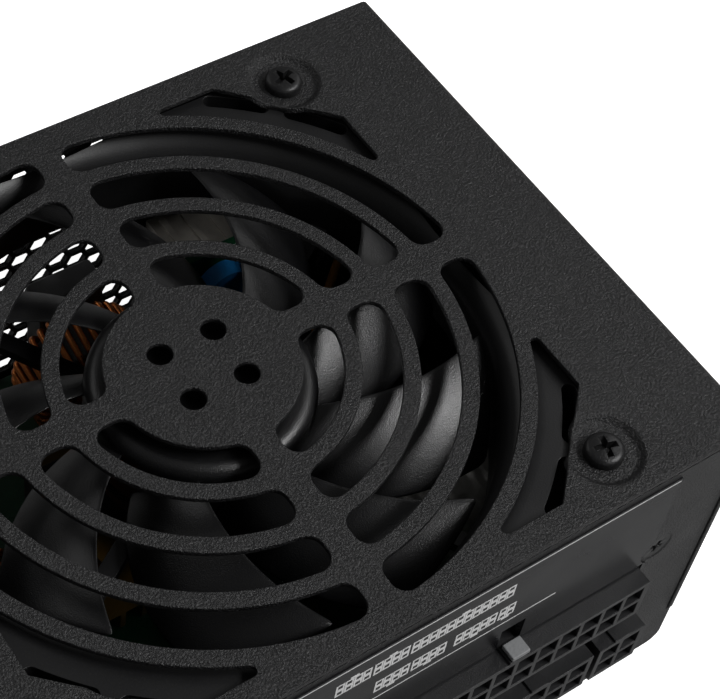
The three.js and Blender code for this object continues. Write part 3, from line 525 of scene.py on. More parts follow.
def finish_tree(tree, given, result, geometry):
    """Ends a tree: real geometry in place of instances, with the piece's material."""
    real = tree.nodes.new("GeometryNodeRealizeInstances")
    painted = tree.nodes.new("GeometryNodeSetMaterial")
    tree.links.new(geometry, real.inputs[0])
    tree.links.new(real.outputs[0], painted.inputs["Geometry"])
    tree.links.new(given.outputs["Material"], painted.inputs["Material"])
    tree.links.new(painted.outputs[0], result.inputs[0])


def grown(name, tree, values):
    """A piece grown by a geometry tree, as a plain mesh."""
    made = placed(name, bpy.data.meshes.new(name))
    modifier = made.modifiers.new("tree", "NODES")
    modifier.node_group = tree
    for item in tree.interface.items_tree:
        if item.item_type == "SOCKET" and item.in_out == "INPUT" and item.name in values:
            modifier[item.identifier] = values[item.name]
    return settle(made)


def hexagon_tree():
    """A field of hexagonal punches: a grid of points, every other column half a pitch higher."""
    tree, given, result = new_tree(
        "hexagon_field",
        [("Pitch", 0.004), ("Hole Width", 0.003), ("Columns", 8), ("Rows", 8), ("Punch Length", 0.003)],
        [("Material", "Material")])
    nodes, links = tree.nodes, tree.links
    step = sum_of(tree, "MULTIPLY", given.outputs["Pitch"], math.sqrt(3) / 2)
    points = grid_points(tree, given, step, given.outputs["Pitch"])
    index = nodes.new("GeometryNodeInputIndex")
    column = sum_of(tree, "FLOOR", sum_of(tree, "DIVIDE", index.outputs[0], given.outputs["Rows"]), 0)
    odd = sum_of(tree, "MODULO", column, 2)
    raised = sum_of(tree, "MULTIPLY", odd, sum_of(tree, "MULTIPLY", given.outputs["Pitch"], 0.5))
    offset = nodes.new("ShaderNodeCombineXYZ")
    links.new(raised, offset.inputs["Y"])
    moved = nodes.new("GeometryNodeSetPosition")
    links.new(points, moved.inputs["Geometry"])
    links.new(offset.outputs[0], moved.inputs["Offset"])
    punch = nodes.new("GeometryNodeMeshCylinder")
    punch.inputs["Vertices"].default_value = 6
    links.new(sum_of(tree, "DIVIDE", given.outputs["Hole Width"], math.sqrt(3)), punch.inputs["Radius"])
    links.new(given.outputs["Punch Length"], punch.inputs["Depth"])
    finish_tree(tree, given, result, copies_on(tree, moved.outputs[0], punch.outputs["Mesh"]))
    return tree


hexagon_field = hexagon_tree()


hexagon_pitch = 4.0
hexagon_bridge = 0.8
field_left = -49
wide_field = (20, 9.5, 12)      # columns, lowest row's height, rows
narrow_field = (7, 37.5, 5)     # the same, above the inlet
column_step = hexagon_pitch * math.sqrt(3) / 2


def punches(x0, columns, z0, rows, y):
    """Punches in the rear wall, whose lower left one is at x0 and z0."""
    made = grown("punches", hexagon_field, {
        "Pitch": hexagon_pitch * MM, "Hole Width": (hexagon_pitch - hexagon_bridge) * MM,
        "Columns": columns, "Rows": rows, "Punch Length": 4 * MM, "Material": powder_coat})
    wide = (columns - 1) * column_step
    high = (rows - 1) * hexagon_pitch
    place = Matrix.Translation(Vector((x0 + wide / 2, y, z0 + high / 2)) * MM)
    made.data.transform(place @ Matrix.Rotation(quarter, 4, "X"))
    return made


tray = cad_copy("bottom_tray", "tray")
tray.data.materials.append(powder_coat)
rear_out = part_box("bottom_tray")[1].y / MM
wall_in = rear_out - sheet
bm = bmesh.new()
block(bm, -52, 18.5, wall_in, rear_out, 7, 60)
closing = to_object(bm, "closing", "case", powder_coat)
combine(tray, closing, "UNION")
make_whole(tray.data)
round_edges(tray, 0.12, 2, 40)
settle(tray)
for left, (columns, low_row, rows) in ((field_left, wide_field),
                                       (field_left + wide_field[0] * column_step, narrow_field)):
    combine(tray, punches(left, columns, low_row, rows, wall_in + 0.5), "DIFFERENCE")
evened = tray.modifiers.new("evened", "WEIGHTED_NORMAL")
evened.weight = 100
settle(tray)
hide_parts("bottom_tray")
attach(tray, "case")

# ---- Label: a glossy dark film on the front wall ----
# It carries small printed pictures of the sockets below it, and a thin printed border. The printing is
# a thin layer of pale ink; the words beside the pictures are left out.
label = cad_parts["front_label"]
label.data.materials.clear()
label_film = grained("label_film", (0.008, 0.008, 0.009), (0.012, 0.012, 0.013), 1.5, 0.03, 0.4,
                     (0.2, 0.3), 0.0, 0.2)
label.data.materials.append(label_film)
ink = grained("pale_ink", (0.8, 0.8, 0.8), (0.6, 0.6, 0.6), 0.4, 0.1, 0.5, (0.45, 0.6))
label_low, label_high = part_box("front_label")
print_y = label_low.y / MM


def picture_tree():
    """A printed picture of a socket: columns and rows of one small outlined cell."""
    tree, given, result = new_tree(
        "socket_picture",
        [("Columns", 2), ("Rows", 2), ("Column Pitch", 0.00168), ("Row Pitch", 0.0011)],
        [("Cell", "Object"), ("Material", "Material")])
    points = grid_points(tree, given, given.outputs["Column Pitch"], given.outputs["Row Pitch"])
    finish_tree(tree, given, result, copies_on(tree, points, shape_of(tree, given.outputs["Cell"])))
    return tree


cell_grid = picture_tree()
ink_height = 0.03


def outline_cell(width, height, line):
    """One outlined cell, drawn flat and a hair thick."""
    bm = bmesh.new()
    block(bm, -width / 2, width / 2, height / 2 - line, height / 2, 0, ink_height)
    block(bm, -width / 2, width / 2, -height / 2, -height / 2 + line, 0, ink_height)
    block(bm, -width / 2, -width / 2 + line, -height / 2 + line, height / 2 - line, 0, ink_height)
    block(bm, width / 2 - line, width / 2, -height / 2 + line, height / 2 - line, 0, ink_height)
    return to_object(bm, "cell", "case", ink, smooth=False)


column = 1.5
row = 1.55
upper_print, lower_print = 56.3, 50.4
upper_line, lower_line, line_width = 59.3, 45.2, 0.2


def picture(name, right, high, columns, tick_up):
    """The printed picture of one socket, from its upper right corner, with the tick of its latch."""
    cell = outline_cell(column - 0.08, row - 0.08, 0.3)
    made = grown(name, cell_grid, {
        "Columns": columns, "Rows": 2, "Column Pitch": column * MM, "Row Pitch": row * MM,
        "Cell": cell, "Material": ink})
    bpy.data.objects.remove(cell)
    wide = (columns - 1) * column
    bm = bmesh.new()
    bm.from_mesh(made.data)
    tick_low = row + 0.03 if tick_up else -row - 0.45
    ticks = block(bm, -0.7, 0.7, tick_low, tick_low + 0.42, 0, ink_height)
    bmesh.ops.scale(bm, vec=(MM, MM, MM), verts=ticks)
    bm.to_mesh(made.data)
    bm.free()
    place = Matrix.Translation(Vector((right - wide / 2 - column / 2, print_y, high - row)) * MM)
    made.data.transform(place @ Matrix.Rotation(quarter, 4, "X"))
    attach(made, "case")
    return made


right = 18.9
for name, columns, gap in (("24way", 12, 0.35), ("8way_upper_inner", 4, 0.35),
                           ("8way_upper_outer", 4, 0)):
    picture("print_" + name, right, upper_print, columns, True)
    right -= columns * column + gap
right = 20.2
for name, columns, gap in (("4way", 2, 0.35), ("10way", 5, 1.5), ("8way_lower_inner", 4, 0.35),
                           ("8way_lower_outer", 4, 0)):
    picture("print_" + name, right, lower_print, columns, False)
    right -= columns * column + gap
bm = bmesh.new()
block(bm, label_low.x / MM + 0.2, label_high.x / MM - 0.2, print_y - ink_height, print_y,
      upper_line, upper_line + line_width)
block(bm, label_low.x / MM + 0.2, 28.5, print_y - ink_height, print_y,
      lower_line, lower_line + line_width)
border = to_object(bm, "print_border", "case", ink, smooth=False)
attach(border, "case")

# ---- Sockets: moulded housings for the modular leads ----
# Two rows of square cells each, with a brass pin in every cell and a latch rib on top. The pins are set
# in by a grid; the housings keep the frame's shape, with the corners eased as a mould leaves them.
socket_plastic = grained("socket_plastic", (0.012, 0.012, 0.013), (0.02, 0.02, 0.021), 0.25, 0.2, 0.5,
                         (0.34, 0.44), 0.0, 0.45)
pin_brass = grained("pin_brass", (0.5, 0.36, 0.16), (0.35, 0.24, 0.1), 0.3, 0.1, 0.5, (0.25, 0.4), 1.0)
socket_cell = 4.2
housing_wall = 0.55
cell_depth = 9
pin_width = 1.1
sockets = (("socket_24way", 12), ("socket_8way_upper_inner", 4), ("socket_8way_upper_outer", 4),
           ("socket_4way", 2), ("socket_10way", 5), ("socket_8way_lower_inner", 4),
           ("socket_8way_lower_outer", 4))
for name, columns in sockets:
    housing = cad_copy(name, "housing_" + name[7:])
    housing.data.materials.append(socket_plastic)
    round_edges(housing, 0.1, 2, 40)
    settle(housing)
    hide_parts(name)
    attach(housing, "case")
    low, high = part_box(name)
    bm = bmesh.new()
    half_pin = pin_width / 2
    block(bm, -half_pin, half_pin, -half_pin, half_pin, -0.2, cell_depth - 4)
    pin = to_object(bm, "pin", "case", pin_brass, smooth=False)
    round_edges(pin, 0.25, 1, 40)
    settle(pin)
    pins = grown("pins_" + name[7:], cell_grid, {
        "Columns": columns, "Rows": 2, "Column Pitch": socket_cell * MM, "Row Pitch": socket_cell * MM,
        "Cell": pin, "Material": pin_brass})
    bpy.data.objects.remove(pin)
    middle = Vector(((low.x + high.x) / 2, low.y + cell_depth * MM,
                     low.z + (housing_wall + socket_cell) * MM))
    pins.data.transform(Matrix.Translation(middle) @ Matrix.Rotation(quarter, 4, "X"))
    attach(pins, "case")

# ---- Latch nub: a small block on the 24-way socket's latch ----
# A tab that stands on the housing's rib. Its light grey is a painted highlight: it stands in for the
# reflection that makes the latch look pale, not the plastic's own colour.
nub_grey = grained("nub_grey", (0.24, 0.245, 0.25), (0.17, 0.175, 0.18), 0.5, 0.25, 0.5, (0.4, 0.5))
low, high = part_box("socket_24way")
bm = bmesh.new()
block(bm, 20.3, 23.6, low.y / MM + 0.05, print_y - 0.1, high.z / MM - 0.02, high.z / MM + 0.9)
nub = to_object(bm, "latch_nub", "case", nub_grey)
round_edges(nub, 0.2, 3)
settle(nub)
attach(nub, "case")

# ---- Screws: black fasteners in the lid's pads and in the walls ----
# Pan heads with a cross recess hold the fan to the lid; countersunk ones hold the walls to the lid's
# tabs. Each head is made once, and a tree sets the copies down on the screws' places.


def scatter_tree():
    """Copies of one piece on points, turned by the points' own angles."""
    tree, given, result = new_tree("fasteners", [], [("Places", "Object"), ("Piece", "Object"),
                                                    ("Material", "Material")])
    nodes, links = tree.nodes, tree.links
    angles = nodes.new("GeometryNodeInputNamedAttribute")
    angles.data_type = "FLOAT_VECTOR"
    angles.inputs["Name"].default_value = "angles"
    rotation = nodes.new("FunctionNodeEulerToRotation")
    links.new(angles.outputs["Attribute"], rotation.inputs[0])
    finish_tree(tree, given, result, copies_on(
        tree, shape_of(tree, given.outputs["Places"]), shape_of(tree, given.outputs["Piece"]),
        rotation.outputs[0]))
    return tree


fastener_set = scatter_tree()


def set_down(name, piece, places, material):
    """The piece copied to each place, given in metres with its angles."""
    mesh = bpy.data.meshes.new("places")
    mesh.from_pydata([spot for spot, _ in places], [], [])
    angles = mesh.attributes.new("angles", "FLOAT_VECTOR", "POINT")
    for item, (_, turned) in zip(angles.data, places):
        item.vector = turned
    points = placed("places", mesh)
    made = grown(name, fastener_set, {"Places": points, "Piece": piece, "Material": material})
    bpy.data.objects.remove(points)
    return made


def turned(profile, sides):
    """A profile of radius and height turned about Z, as closed mesh data in millimetres."""
    bm = bmesh.new()
    rows = []
    for radius, height in profile:
        if radius < 1e-6:
            rows.append([bm.verts.new((0, 0, height))] * sides)
            continue
        angles = [2 * math.pi * i / sides for i in range(sides)]
        rows.append([bm.verts.new((radius * math.cos(a), radius * math.sin(a), height)) for a in angles])
    for low, high in zip(rows, rows[1:]):
        for i in range(sides):
            j = (i + 1) % sides
            corners = []
            for vert in (low[i], low[j], high[j], high[i]):
                if vert not in corners:
                    corners.append(vert)
            if len(corners) > 2:
                bm.faces.new(corners)
    bmesh.ops.remove_doubles(bm, verts=bm.verts, dist=1e-4)
    bmesh.ops.recalc_face_normals(bm, faces=bm.faces)
    return bm


def prism(bm, low_points, high_points):
    """A closed body between two outlines that have as many points."""
    low = [bm.verts.new(point) for point in low_points]
    high = [bm.verts.new(point) for point in high_points]
    bm.faces.new(list(reversed(low)))
    bm.faces.new(high)
    for i in range(len(low)):
        j = (i + 1) % len(low)
        bm.faces.new((low[i], low[j], high[j], high[i]))


def screw_head(name, profile, top, width, bar, depth, material):
    """A turned screw with a tapered cross recess, cut one bar at a time."""
    head = to_object(turned(profile, 48), name, "case", material)
    for swap in (False, True):
        half, thin = width / 2, bar / 2
        x, y = (thin, half) if swap else (half, thin)
        low_x, low_y = (0.85, 0.4) if swap else (0.4, 0.85)
        corners = ((-1, -1), (1, -1), (1, 1), (-1, 1))
        bm = bmesh.new()
        prism(bm, [(sx * x * low_x, sy * y * low_y, top - depth) for sx, sy in corners],
              [(sx * x, sy * y, top + 0.3) for sx, sy in corners])
        combine(head, to_object(bm, "recess", "case", material), "DIFFERENCE")
    round_edges(head, 0.06, 2, 40)
    return settle(head)


screw_black = grained("screw_black", (0.012, 0.012, 0.0125), (0.04, 0.04, 0.041), 0.3, 0.3, 0.6,
                      (0.34, 0.44), 0.3, 0.5)
pan_low, pan_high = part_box("fan_screw_1")
pan_radius = (pan_high.x - pan_low.x) / 2 / MM
pan_top = pan_high.z / MM
pan_base = top - pad_depth
pan_profile = [(0, pan_base - 6), (1.4, pan_base - 6), (1.45, pan_base), (pan_radius, pan_base),
               (pan_radius, pan_top - 1.1)]
pan_profile += [(pan_radius - 1.1 + 1.1 * math.cos(a), pan_top - 1.1 + 0.9 * math.sin(a))
                for a in (0.3, 0.6, 0.9, 1.2, 1.45)]
pan_profile += [(pan_radius * 0.4, pan_top - 0.05), (0, pan_top)]
pan_head = screw_head("pan_head", pan_profile, pan_top, 4.4, 1.0, 1.5, screw_black)
places = []
for number, twist in zip((1, 2, 3, 4), (0.35, 0.9, 0.2, 1.31)):
    low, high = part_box(f"fan_screw_{number}")
    places.append((((low.x + high.x) / 2, (low.y + high.y) / 2, 0), (0, 0, twist)))
fan_screws = set_down("fan_screws", pan_head, places, screw_black)
bpy.data.objects.remove(pan_head)
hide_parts("fan_screw_1", "fan_screw_2", "fan_screw_3", "fan_screw_4")
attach(fan_screws, "case")

flat_low, flat_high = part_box("case_screw_front_right")
flat_radius = (flat_high.x - flat_low.x) / 2 / MM
flat_profile = [(0, -4.6), (1.2, -4.6), (1.35, -flat_radius * 0.55), (flat_radius, -0.12), (flat_radius, 0),
                (flat_radius - 0.3, 0.0), (0, 0.0)]
flat_head = screw_head("flat_head", flat_profile, 0, 3.0, 0.8, 1.1, screw_black)
places = []
for name, twist in (("front_right", 0.4), ("front_left", 1.0), ("rear_right", 0.2), ("rear_left", 0.8)):
    low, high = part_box("case_screw_" + name)
    front = name.startswith("front")
    lean = quarter if front else -quarter
    face = low.y if front else high.y
    spot = ((low.x + high.x) / 2, face, (low.z + high.z) / 2)
    places.append((spot, (lean, twist if front else -twist, 0)))
case_screws = set_down("case_screws", flat_head, places, screw_black)
bpy.data.objects.remove(flat_head)
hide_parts(*["case_screw_" + n for n in
                           ("front_right", "front_left", "rear_right", "rear_left")])
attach(case_screws, "case")

# ---- Fan frame: the square moulded duct that hangs under the grille ----
# Glass filled nylon: a round duct with a flared mouth between two square flanges, hollow at its
# corners, with a slotted web beside each screw. Four flat arms carry the motor's base.
fan_black = grained("fan_black", (0.009, 0.009, 0.0095), (0.02, 0.02, 0.021), 0.3, 0.12, 0.5, (0.36, 0.46),
                    0.0, 0.45)
fan_under = fan_low.z / MM
fan_top = fan_high.z / MM
fan_half = (fan_high.x - fan_low.x) / 2 / MM
throat = 44.0
mouth = 50.0
mouth_depth = 5.0
flange = 2.6
fan_sides = 144
base_radius = 17.5
bearing_radius = 3.6
web_inner, web_outer = 52.3, 54.6           # the slots beside each screw: radii
web_start, web_end = math.radians(2.6), 0.2  # and angles from the screw


def at_fan(made):
    """Moves a piece that was drawn about the fan's axis to where the fan is."""
    made.data.transform(Matrix.Translation((fan_x * MM, fan_y * MM, 0)))
    return made


bm = bmesh.new()
corner = 2.0
outline = []
for turns in range(4):
    for x, y in arc(fan_half - corner, fan_half - corner, corner, 0, quarter, 6):
        c, s = quarter_turns[turns]
        outline.append((c * x - s * y, s * x + c * y))
face = bm.faces.new([bm.verts.new((x, y, fan_under)) for x, y in outline])
lifted = bmesh.ops.extrude_face_region(bm, geom=[face])
bmesh.ops.translate(bm, vec=(0, 0, fan_top - fan_under),
                    verts=[v for v in lifted["geom"] if isinstance(v, bmesh.types.BMVert)])
bmesh.ops.recalc_face_normals(bm, faces=bm.faces)
fan_body = to_object(bm, "fan_body", "case", fan_black)


flare = [(throat + (mouth - throat) * (1 - math.cos(a)), fan_top - mouth_depth * (1 - math.sin(a)))
         for a in (0, 0.2, 0.4, 0.6, 0.8, 1.0, 1.2, 1.35, quarter)]
duct = turned([(0, fan_under - 1), (throat, fan_under - 1)] + flare
              + [(mouth, fan_top + 1), (0, fan_top + 1)], fan_sides)
combine(fan_body, to_object(duct, "cutter", "case", fan_black), "DIFFERENCE")
pocket_low = fan_under + flange
pocket_high = fan_top - flange
pocket_inner = throat + 1.6
pocket = turned([(pocket_inner, pocket_low), (fan_half * 1.6, pocket_low), (fan_half * 1.6, pocket_high),
                 (pocket_inner, pocket_high), (pocket_inner, pocket_low)], fan_sides)
combine(fan_body, to_object(pocket, "pocket", "case", fan_black), "DIFFERENCE")


def ring_slot(bm, inner, outer, start, end, z0, z1):
    """A curved slot with round ends between two radii and two angles, as a cutter."""
    f = (outer - inner) / 2
    middle = (outer + inner) / 2
    points = arc(0, 0, outer, start, end, 12)
    points += arc(middle * math.cos(end), middle * math.sin(end), f, end, end + 2 * quarter, 8)[1:-1]
    points += arc(0, 0, inner, end, start, 12)
    points += arc(middle * math.cos(start), middle * math.sin(start), f, start + 2 * quarter,
                  start + 4 * quarter, 8)[1:-1]
    prism(bm, [(x, y, z0) for x, y in points], [(x, y, z1) for x, y in points])


bm = bmesh.new()
for turns in range(4):
    for side in (-1, 1):
        middle = (turns + 0.5) * quarter
        near, far = middle + side * web_start, middle + side * web_end
        ring_slot(bm, web_inner, web_outer, min(near, far), max(near, far),
                  fan_top - flange - 1, fan_top + 1)
combine(fan_body, to_object(bm, "slots", "case", fan_black), "DIFFERENCE")
bm = bmesh.new()
for sx in (-1, 1):
    for sy in (-1, 1):
        before = set(bm.verts)
        bmesh.ops.create_cone(bm, cap_ends=True, segments=32, radius1=1.75, radius2=1.75, depth=40)
        hole_verts = [v for v in bm.verts if v not in before]
        bmesh.ops.translate(bm, vec=(sx * screw_at, sy * screw_at, fan_top), verts=hole_verts)
combine(fan_body, to_object(bm, "holes", "case", fan_black), "DIFFERENCE")
bm = bmesh.new()
arm_low, arm_high = fan_under, fan_under + 1.8
for i in range(4):
    angle = (i + 0.35) * quarter
    verts = block(bm, base_radius - 1.5, throat + 0.8, -1.4, 1.4, arm_low, arm_high)
    bmesh.ops.rotate(bm, verts=verts, cent=(0, 0, 0), matrix=Matrix.Rotation(angle, 3, "Z"))
arms = to_object(bm, "arms", "case", fan_black)
combine(fan_body, arms, "UNION")
sleeve_top = fan_under + 8
base_top = fan_under + 1.6
base = turned([(bearing_radius, fan_under), (base_radius, fan_under), (base_radius, base_top),
               (bearing_radius + 1, base_top), (bearing_radius + 1, sleeve_top),
               (bearing_radius, sleeve_top), (bearing_radius, fan_under)], 96)
base = to_object(base, "cutter", "case", fan_black)
combine(fan_body, base, "UNION")
round_edges(fan_body, 0.2, 2, 40)
at_fan(settle(fan_body))
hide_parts("fan_frame")
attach(fan_body, "case")

# ---- Rotor: the hub cup with its nine swept blades ----
# Moulded in one in a satin black plastic. One blade is drawn as a curved sheet with thickness and
# smoothed; a tree sets nine of them round the hub.
blade_black = grained("blade_black", (0.004, 0.004, 0.0045), (0.012, 0.012, 0.012), 0.2, 0.3, 0.6,
                      (0.28, 0.38), 0.0, 0.6)
hub_radius = 17.0
hub_wall = 1.6
hub_round = 2.2
hub_top = fan_top - 1
hub_under = fan_under + 2.6
blade_count = 9
blade_thickness = 1.3
blade_rise = 10.0
root_chord = math.radians(34.3)
tip_chord = math.radians(24)
blade_sweep = math.radians(31.7)
blade_phase = math.radians(19)


def blade_point(along, across, lift):
    """A point of the blade: along is 0 at the hub and 1 at the tip, across is from -0.5 to 0.5."""
    root = hub_radius - hub_wall * 0.6
    tip = throat - 0.8
    radius = root + (tip - root) * along
    chord = root_chord + (tip_chord - root_chord) * along
    angle = blade_sweep * along + chord * across
    rise = blade_rise - 1.4 * along - 2.4 * (1 - along) ** 8
    height = (hub_top + hub_under) / 2 + rise * across
    height += 0.9 * math.cos(across * math.pi) - 0.3
    thick = blade_thickness * (1 - 0.75 * abs(2 * across) ** 3)
    return (radius * math.cos(angle), radius * math.sin(angle), height + lift * thick)


def ring_tree():
    """Copies of one piece turned about Z, a given number of them, from a first angle."""
    tree, given, result = new_tree(
        "turned_copies", [("Count", 9), ("First Angle", 0.0), ("Step", 0.7)],
        [("Piece", "Object"), ("Material", "Material")])
    nodes, links = tree.nodes, tree.links
    line = nodes.new("GeometryNodeMeshLine")
    links.new(given.outputs["Count"], line.inputs["Count"])
    line.inputs["Offset"].default_value = (0, 0, 0)
    index = nodes.new("GeometryNodeInputIndex")
    angle = sum_of(tree, "ADD", given.outputs["First Angle"],
                   sum_of(tree, "MULTIPLY", index.outputs[0], given.outputs["Step"]))
    vector = nodes.new("ShaderNodeCombineXYZ")
    links.new(angle, vector.inputs["Z"])
    rotation = nodes.new("FunctionNodeEulerToRotation")
    links.new(vector.outputs[0], rotation.inputs[0])
    finish_tree(tree, given, result, copies_on(
        tree, line.outputs["Mesh"], shape_of(tree, given.outputs["Piece"]), rotation.outputs[0]))
    return tree


turned_copies = ring_tree()
bm = bmesh.new()
steps_along, steps_across = 14, 10
sheets = []
for lift in (-0.5, 0.5):
    rows = []
    for i in range(steps_along + 1):
        rows.append([bm.verts.new(blade_point(i / steps_along, j / steps_across - 0.5, lift))
                     for j in range(steps_across + 1)])
    sheets.append(rows)
for under, rows in enumerate(reversed(sheets)):
    for i in range(steps_along):
        for j in range(steps_across):
            corners = (rows[i][j], rows[i + 1][j], rows[i + 1][j + 1], rows[i][j + 1])
            bm.faces.new(corners if under == 0 else tuple(reversed(corners)))
low_rows, high_rows = sheets
rim = [(i, 0) for i in range(steps_along)] + [(steps_along, j) for j in range(steps_across)]
rim += [(i, steps_across) for i in range(steps_along, 0, -1)] + [(0, j) for j in range(steps_across, 0, -1)]
for (a, b), (c, d) in zip(rim, rim[1:] + rim[:1]):
    bm.faces.new((low_rows[a][b], low_rows[c][d], high_rows[c][d], high_rows[a][b]))
bmesh.ops.recalc_face_normals(bm, faces=bm.faces)
one_blade = to_object(bm, "one_blade", "rotor", blade_black)
smoothing = one_blade.modifiers.new("smoothing", "SUBSURF")
smoothing.levels = smoothing.render_levels = 1
settle(one_blade)
blades = grown("fan_blades", turned_copies, {
    "Count": blade_count, "First Angle": blade_phase, "Step": 2 * math.pi / blade_count,
    "Piece": one_blade, "Material": blade_black})
bpy.data.objects.remove(one_blade)
at_fan(blades)
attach(blades, "rotor")
rounding = [quarter * i / 8 for i in range(9)]
shoulder = [(hub_radius - hub_round + hub_round * math.cos(a), hub_top - hub_round + hub_round * math.sin(a))
            for a in rounding]
roof = hub_top - hub_wall
bm = turned([(0, fan_under + 10), (3, fan_under + 10), (3, roof), (hub_radius - hub_wall, roof),
             (hub_radius - hub_wall, hub_under), (hub_radius, hub_under)] + shoulder
            + [(13.2, hub_top), (12.9, hub_top - 0.35), (0, hub_top - 0.35)], fan_sides)
hub = to_object(bm, "fan_hub", "rotor", blade_black)
round_edges(hub, 0.15, 2, 40)
at_fan(settle(hub))
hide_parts("fan_rotor")
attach(hub, "rotor")

# ---- Motor: what the rotor turns on ----
# A steel shaft in a bronze sleeve, a wound stator round the sleeve, and a ring magnet inside the hub.
# They keep the frame's shapes, with their edges eased.


def eased(node_name, material, width, segments=2, body="case"):
    """The frame's own piece as a finer copy, with rounded edges and its finish."""
    made = cad_copy(node_name)
    made.data.materials.append(material)
    round_edges(made, width, segments, 38)
    settle(made)
    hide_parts(node_name)
    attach(made, body)
    return made


bare_steel = grained("bare_steel", (0.42, 0.42, 0.43), (0.3, 0.3, 0.31), 0.4, 0.08, 0.5, (0.22, 0.36), 1.0)
bronze = grained("bronze", (0.38, 0.24, 0.1), (0.28, 0.17, 0.07), 0.4, 0.08, 0.5, (0.3, 0.4), 1.0)
ferrite = grained("ferrite", (0.035, 0.035, 0.037), (0.07, 0.07, 0.072), 0.6, 0.4, 0.5, (0.55, 0.7))
enamel = grained("copper_enamel", (0.62, 0.2, 0.055), (0.4, 0.11, 0.03), 0.8, 0.1, 0.6, (0.2, 0.34), 0.85)
eased("rotor_shaft", bare_steel, 0.15, body="rotor")
eased("rotor_magnet", ferrite, 0.15, body="rotor")
eased("fan_bearing", bronze, 0.15)
eased("fan_stator", enamel, 0.4, 3)

# ---- Inlet: the mains socket in the rear wall ----
# A black moulded body with a deep recess, three nickel pins, and a ribbed metal screen over its back.
inlet_black = grained("inlet_black", (0.013, 0.013, 0.014), (0.02, 0.02, 0.02), 0.3, 0.2, 0.5, (0.32, 0.44))
nickel = grained("nickel", (0.5, 0.49, 0.46), (0.4, 0.39, 0.37), 0.5, 0.06, 0.5, (0.18, 0.3), 1.0)
screen_metal = grained("screen_metal", (0.62, 0.58, 0.52), (0.45, 0.42, 0.38), 0.9, 0.25, 0.6,
                       (0.3, 0.45), 0.35)
eased("ac_inlet", inlet_black, 0.3, 3)
for name in ("neutral", "earth", "live"):
    eased("inlet_pin_" + name, nickel, 0.25, 3)
eased("inlet_shield", screen_metal, 0.15)

# ---- Switch: the mains rocker beside the inlet ----
# The rocker tips on two stub axles in its housing. The white bar and ring meant for its face lie inside
# its body as they are placed here, so they don't show.
rocker_black = grained("rocker_black", (0.012, 0.012, 0.013), (0.02, 0.02, 0.02), 0.3, 0.1, 0.5, (0.2, 0.3))
mark_white = grained("mark_white", (0.6, 0.6, 0.6), (0.5, 0.5, 0.5), 0.4, 0.05, 0.5, (0.4, 0.5))
eased("switch_housing", inlet_black, 0.25, 3)
eased("switch_rocker", rocker_black, 0.35, 3, body="rocker")
rocker_joint = Vector((0.055, 0.0483, 0.044))
bm = turned([(0.95, -0.3), (1.35, -0.3), (1.35, 0.04), (0.95, 0.04), (0.95, -0.3)], 32)
ring_verts = list(bm.verts)
bmesh.ops.translate(bm, vec=(0, 4.4, 1.98), verts=ring_verts)
bmesh.ops.rotate(bm, verts=ring_verts, cent=(0, 4.4, 1.98),
                 matrix=Matrix.Rotation(math.radians(9), 3, "X"))
bar_verts = block(bm, -0.22, 0.22, -5.6, -3.4, 1.6, 2.06)
bmesh.ops.rotate(bm, verts=bar_verts, cent=(0, -4.5, 2.06),
                 matrix=Matrix.Rotation(math.radians(-9), 3, "X"))
bmesh.ops.recalc_face_normals(bm, faces=bm.faces)
marks = to_object(bm, "rocker_marks", "rocker", mark_white, smooth=False)
stand_up = Matrix.Rotation(math.radians(-90), 4, "X")
tipped = Matrix.Rotation(math.radians(-10), 4, "X")
marks.data.transform(Matrix.Translation(rocker_joint) @ tipped @ stand_up)

# ---- Chokes: rings of ferrite wound with enamelled copper ----
# The input choke stands on edge by the rear wall, the output choke lies flat. One turn of wire is drawn
# round the ring's section, and a tree sets the turns side by side.
choke_outer, choke_inner, choke_width = 10.2, 5.6, 8.0
wire_radius = 0.62


def wire_turn(outer, inner, width, radius):
    """One turn of wire round the ring's section, as a tube with a rounded path."""
    gap = 0.34 + radius
    x0, x1, h, r = inner - gap, outer + gap, width / 2 + gap, 1.1
    path = (arc(x1 - r, h - r, r, 0, quarter, 4) + arc(x0 + r, h - r, r, quarter, 2 * quarter, 4)
            + arc(x0 + r, -h + r, r, 2 * quarter, 3 * quarter, 4)
            + arc(x1 - r, -h + r, r, 3 * quarter, 4 * quarter, 4))
    bm = bmesh.new()
    rings = []
    for k, (px, pz) in enumerate(path):
        ax, az = path[k - 1]
        bx, bz = path[(k + 1) % len(path)]
        along = Vector((bx - ax, 0, bz - az)).normalized()
        side = Vector((0, 1, 0))
        out = along.cross(side)
        lean = 0.5 * math.sin(math.atan2(pz, px - (x0 + x1) / 2))
        ring = []
        for i in range(8):
            a = i * quarter / 2
            away = (out * math.cos(a) + side * math.sin(a)) * radius
            ring.append(bm.verts.new(Vector((px, lean, pz)) + away))
        rings.append(ring)
    for a, b in zip(rings, rings[1:] + rings[:1]):
        for i in range(8):
            j = (i + 1) % 8
            bm.faces.new((a[i], a[j], b[j], b[i]))
    bmesh.ops.recalc_face_normals(bm, faces=bm.faces)
    return to_object(bm, "wire_turn", "case", enamel)


for name, stands, turns, first in (("input_choke", True, 34, 0.3), ("output_choke", False, 32, 0.3)):
    eased(name + "_core", ferrite, 0.6, 3)
    one_turn = wire_turn(choke_outer, choke_inner, choke_width, wire_radius * 0.92)
    winding = grown(name + "_turns", turned_copies, {
        "Count": turns, "First Angle": first, "Step": (2 * math.pi - 2 * first) / (turns - 1),
        "Piece": one_turn, "Material": enamel})
    bpy.data.objects.remove(one_turn)
    low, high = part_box(name + "_core")
    lean = Matrix.Rotation(quarter, 4, "X") if stands else Matrix.Identity(4)
    winding.data.transform(Matrix.Translation((low + high) / 2) @ lean)
    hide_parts(name + "_winding")
    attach(winding, "case")

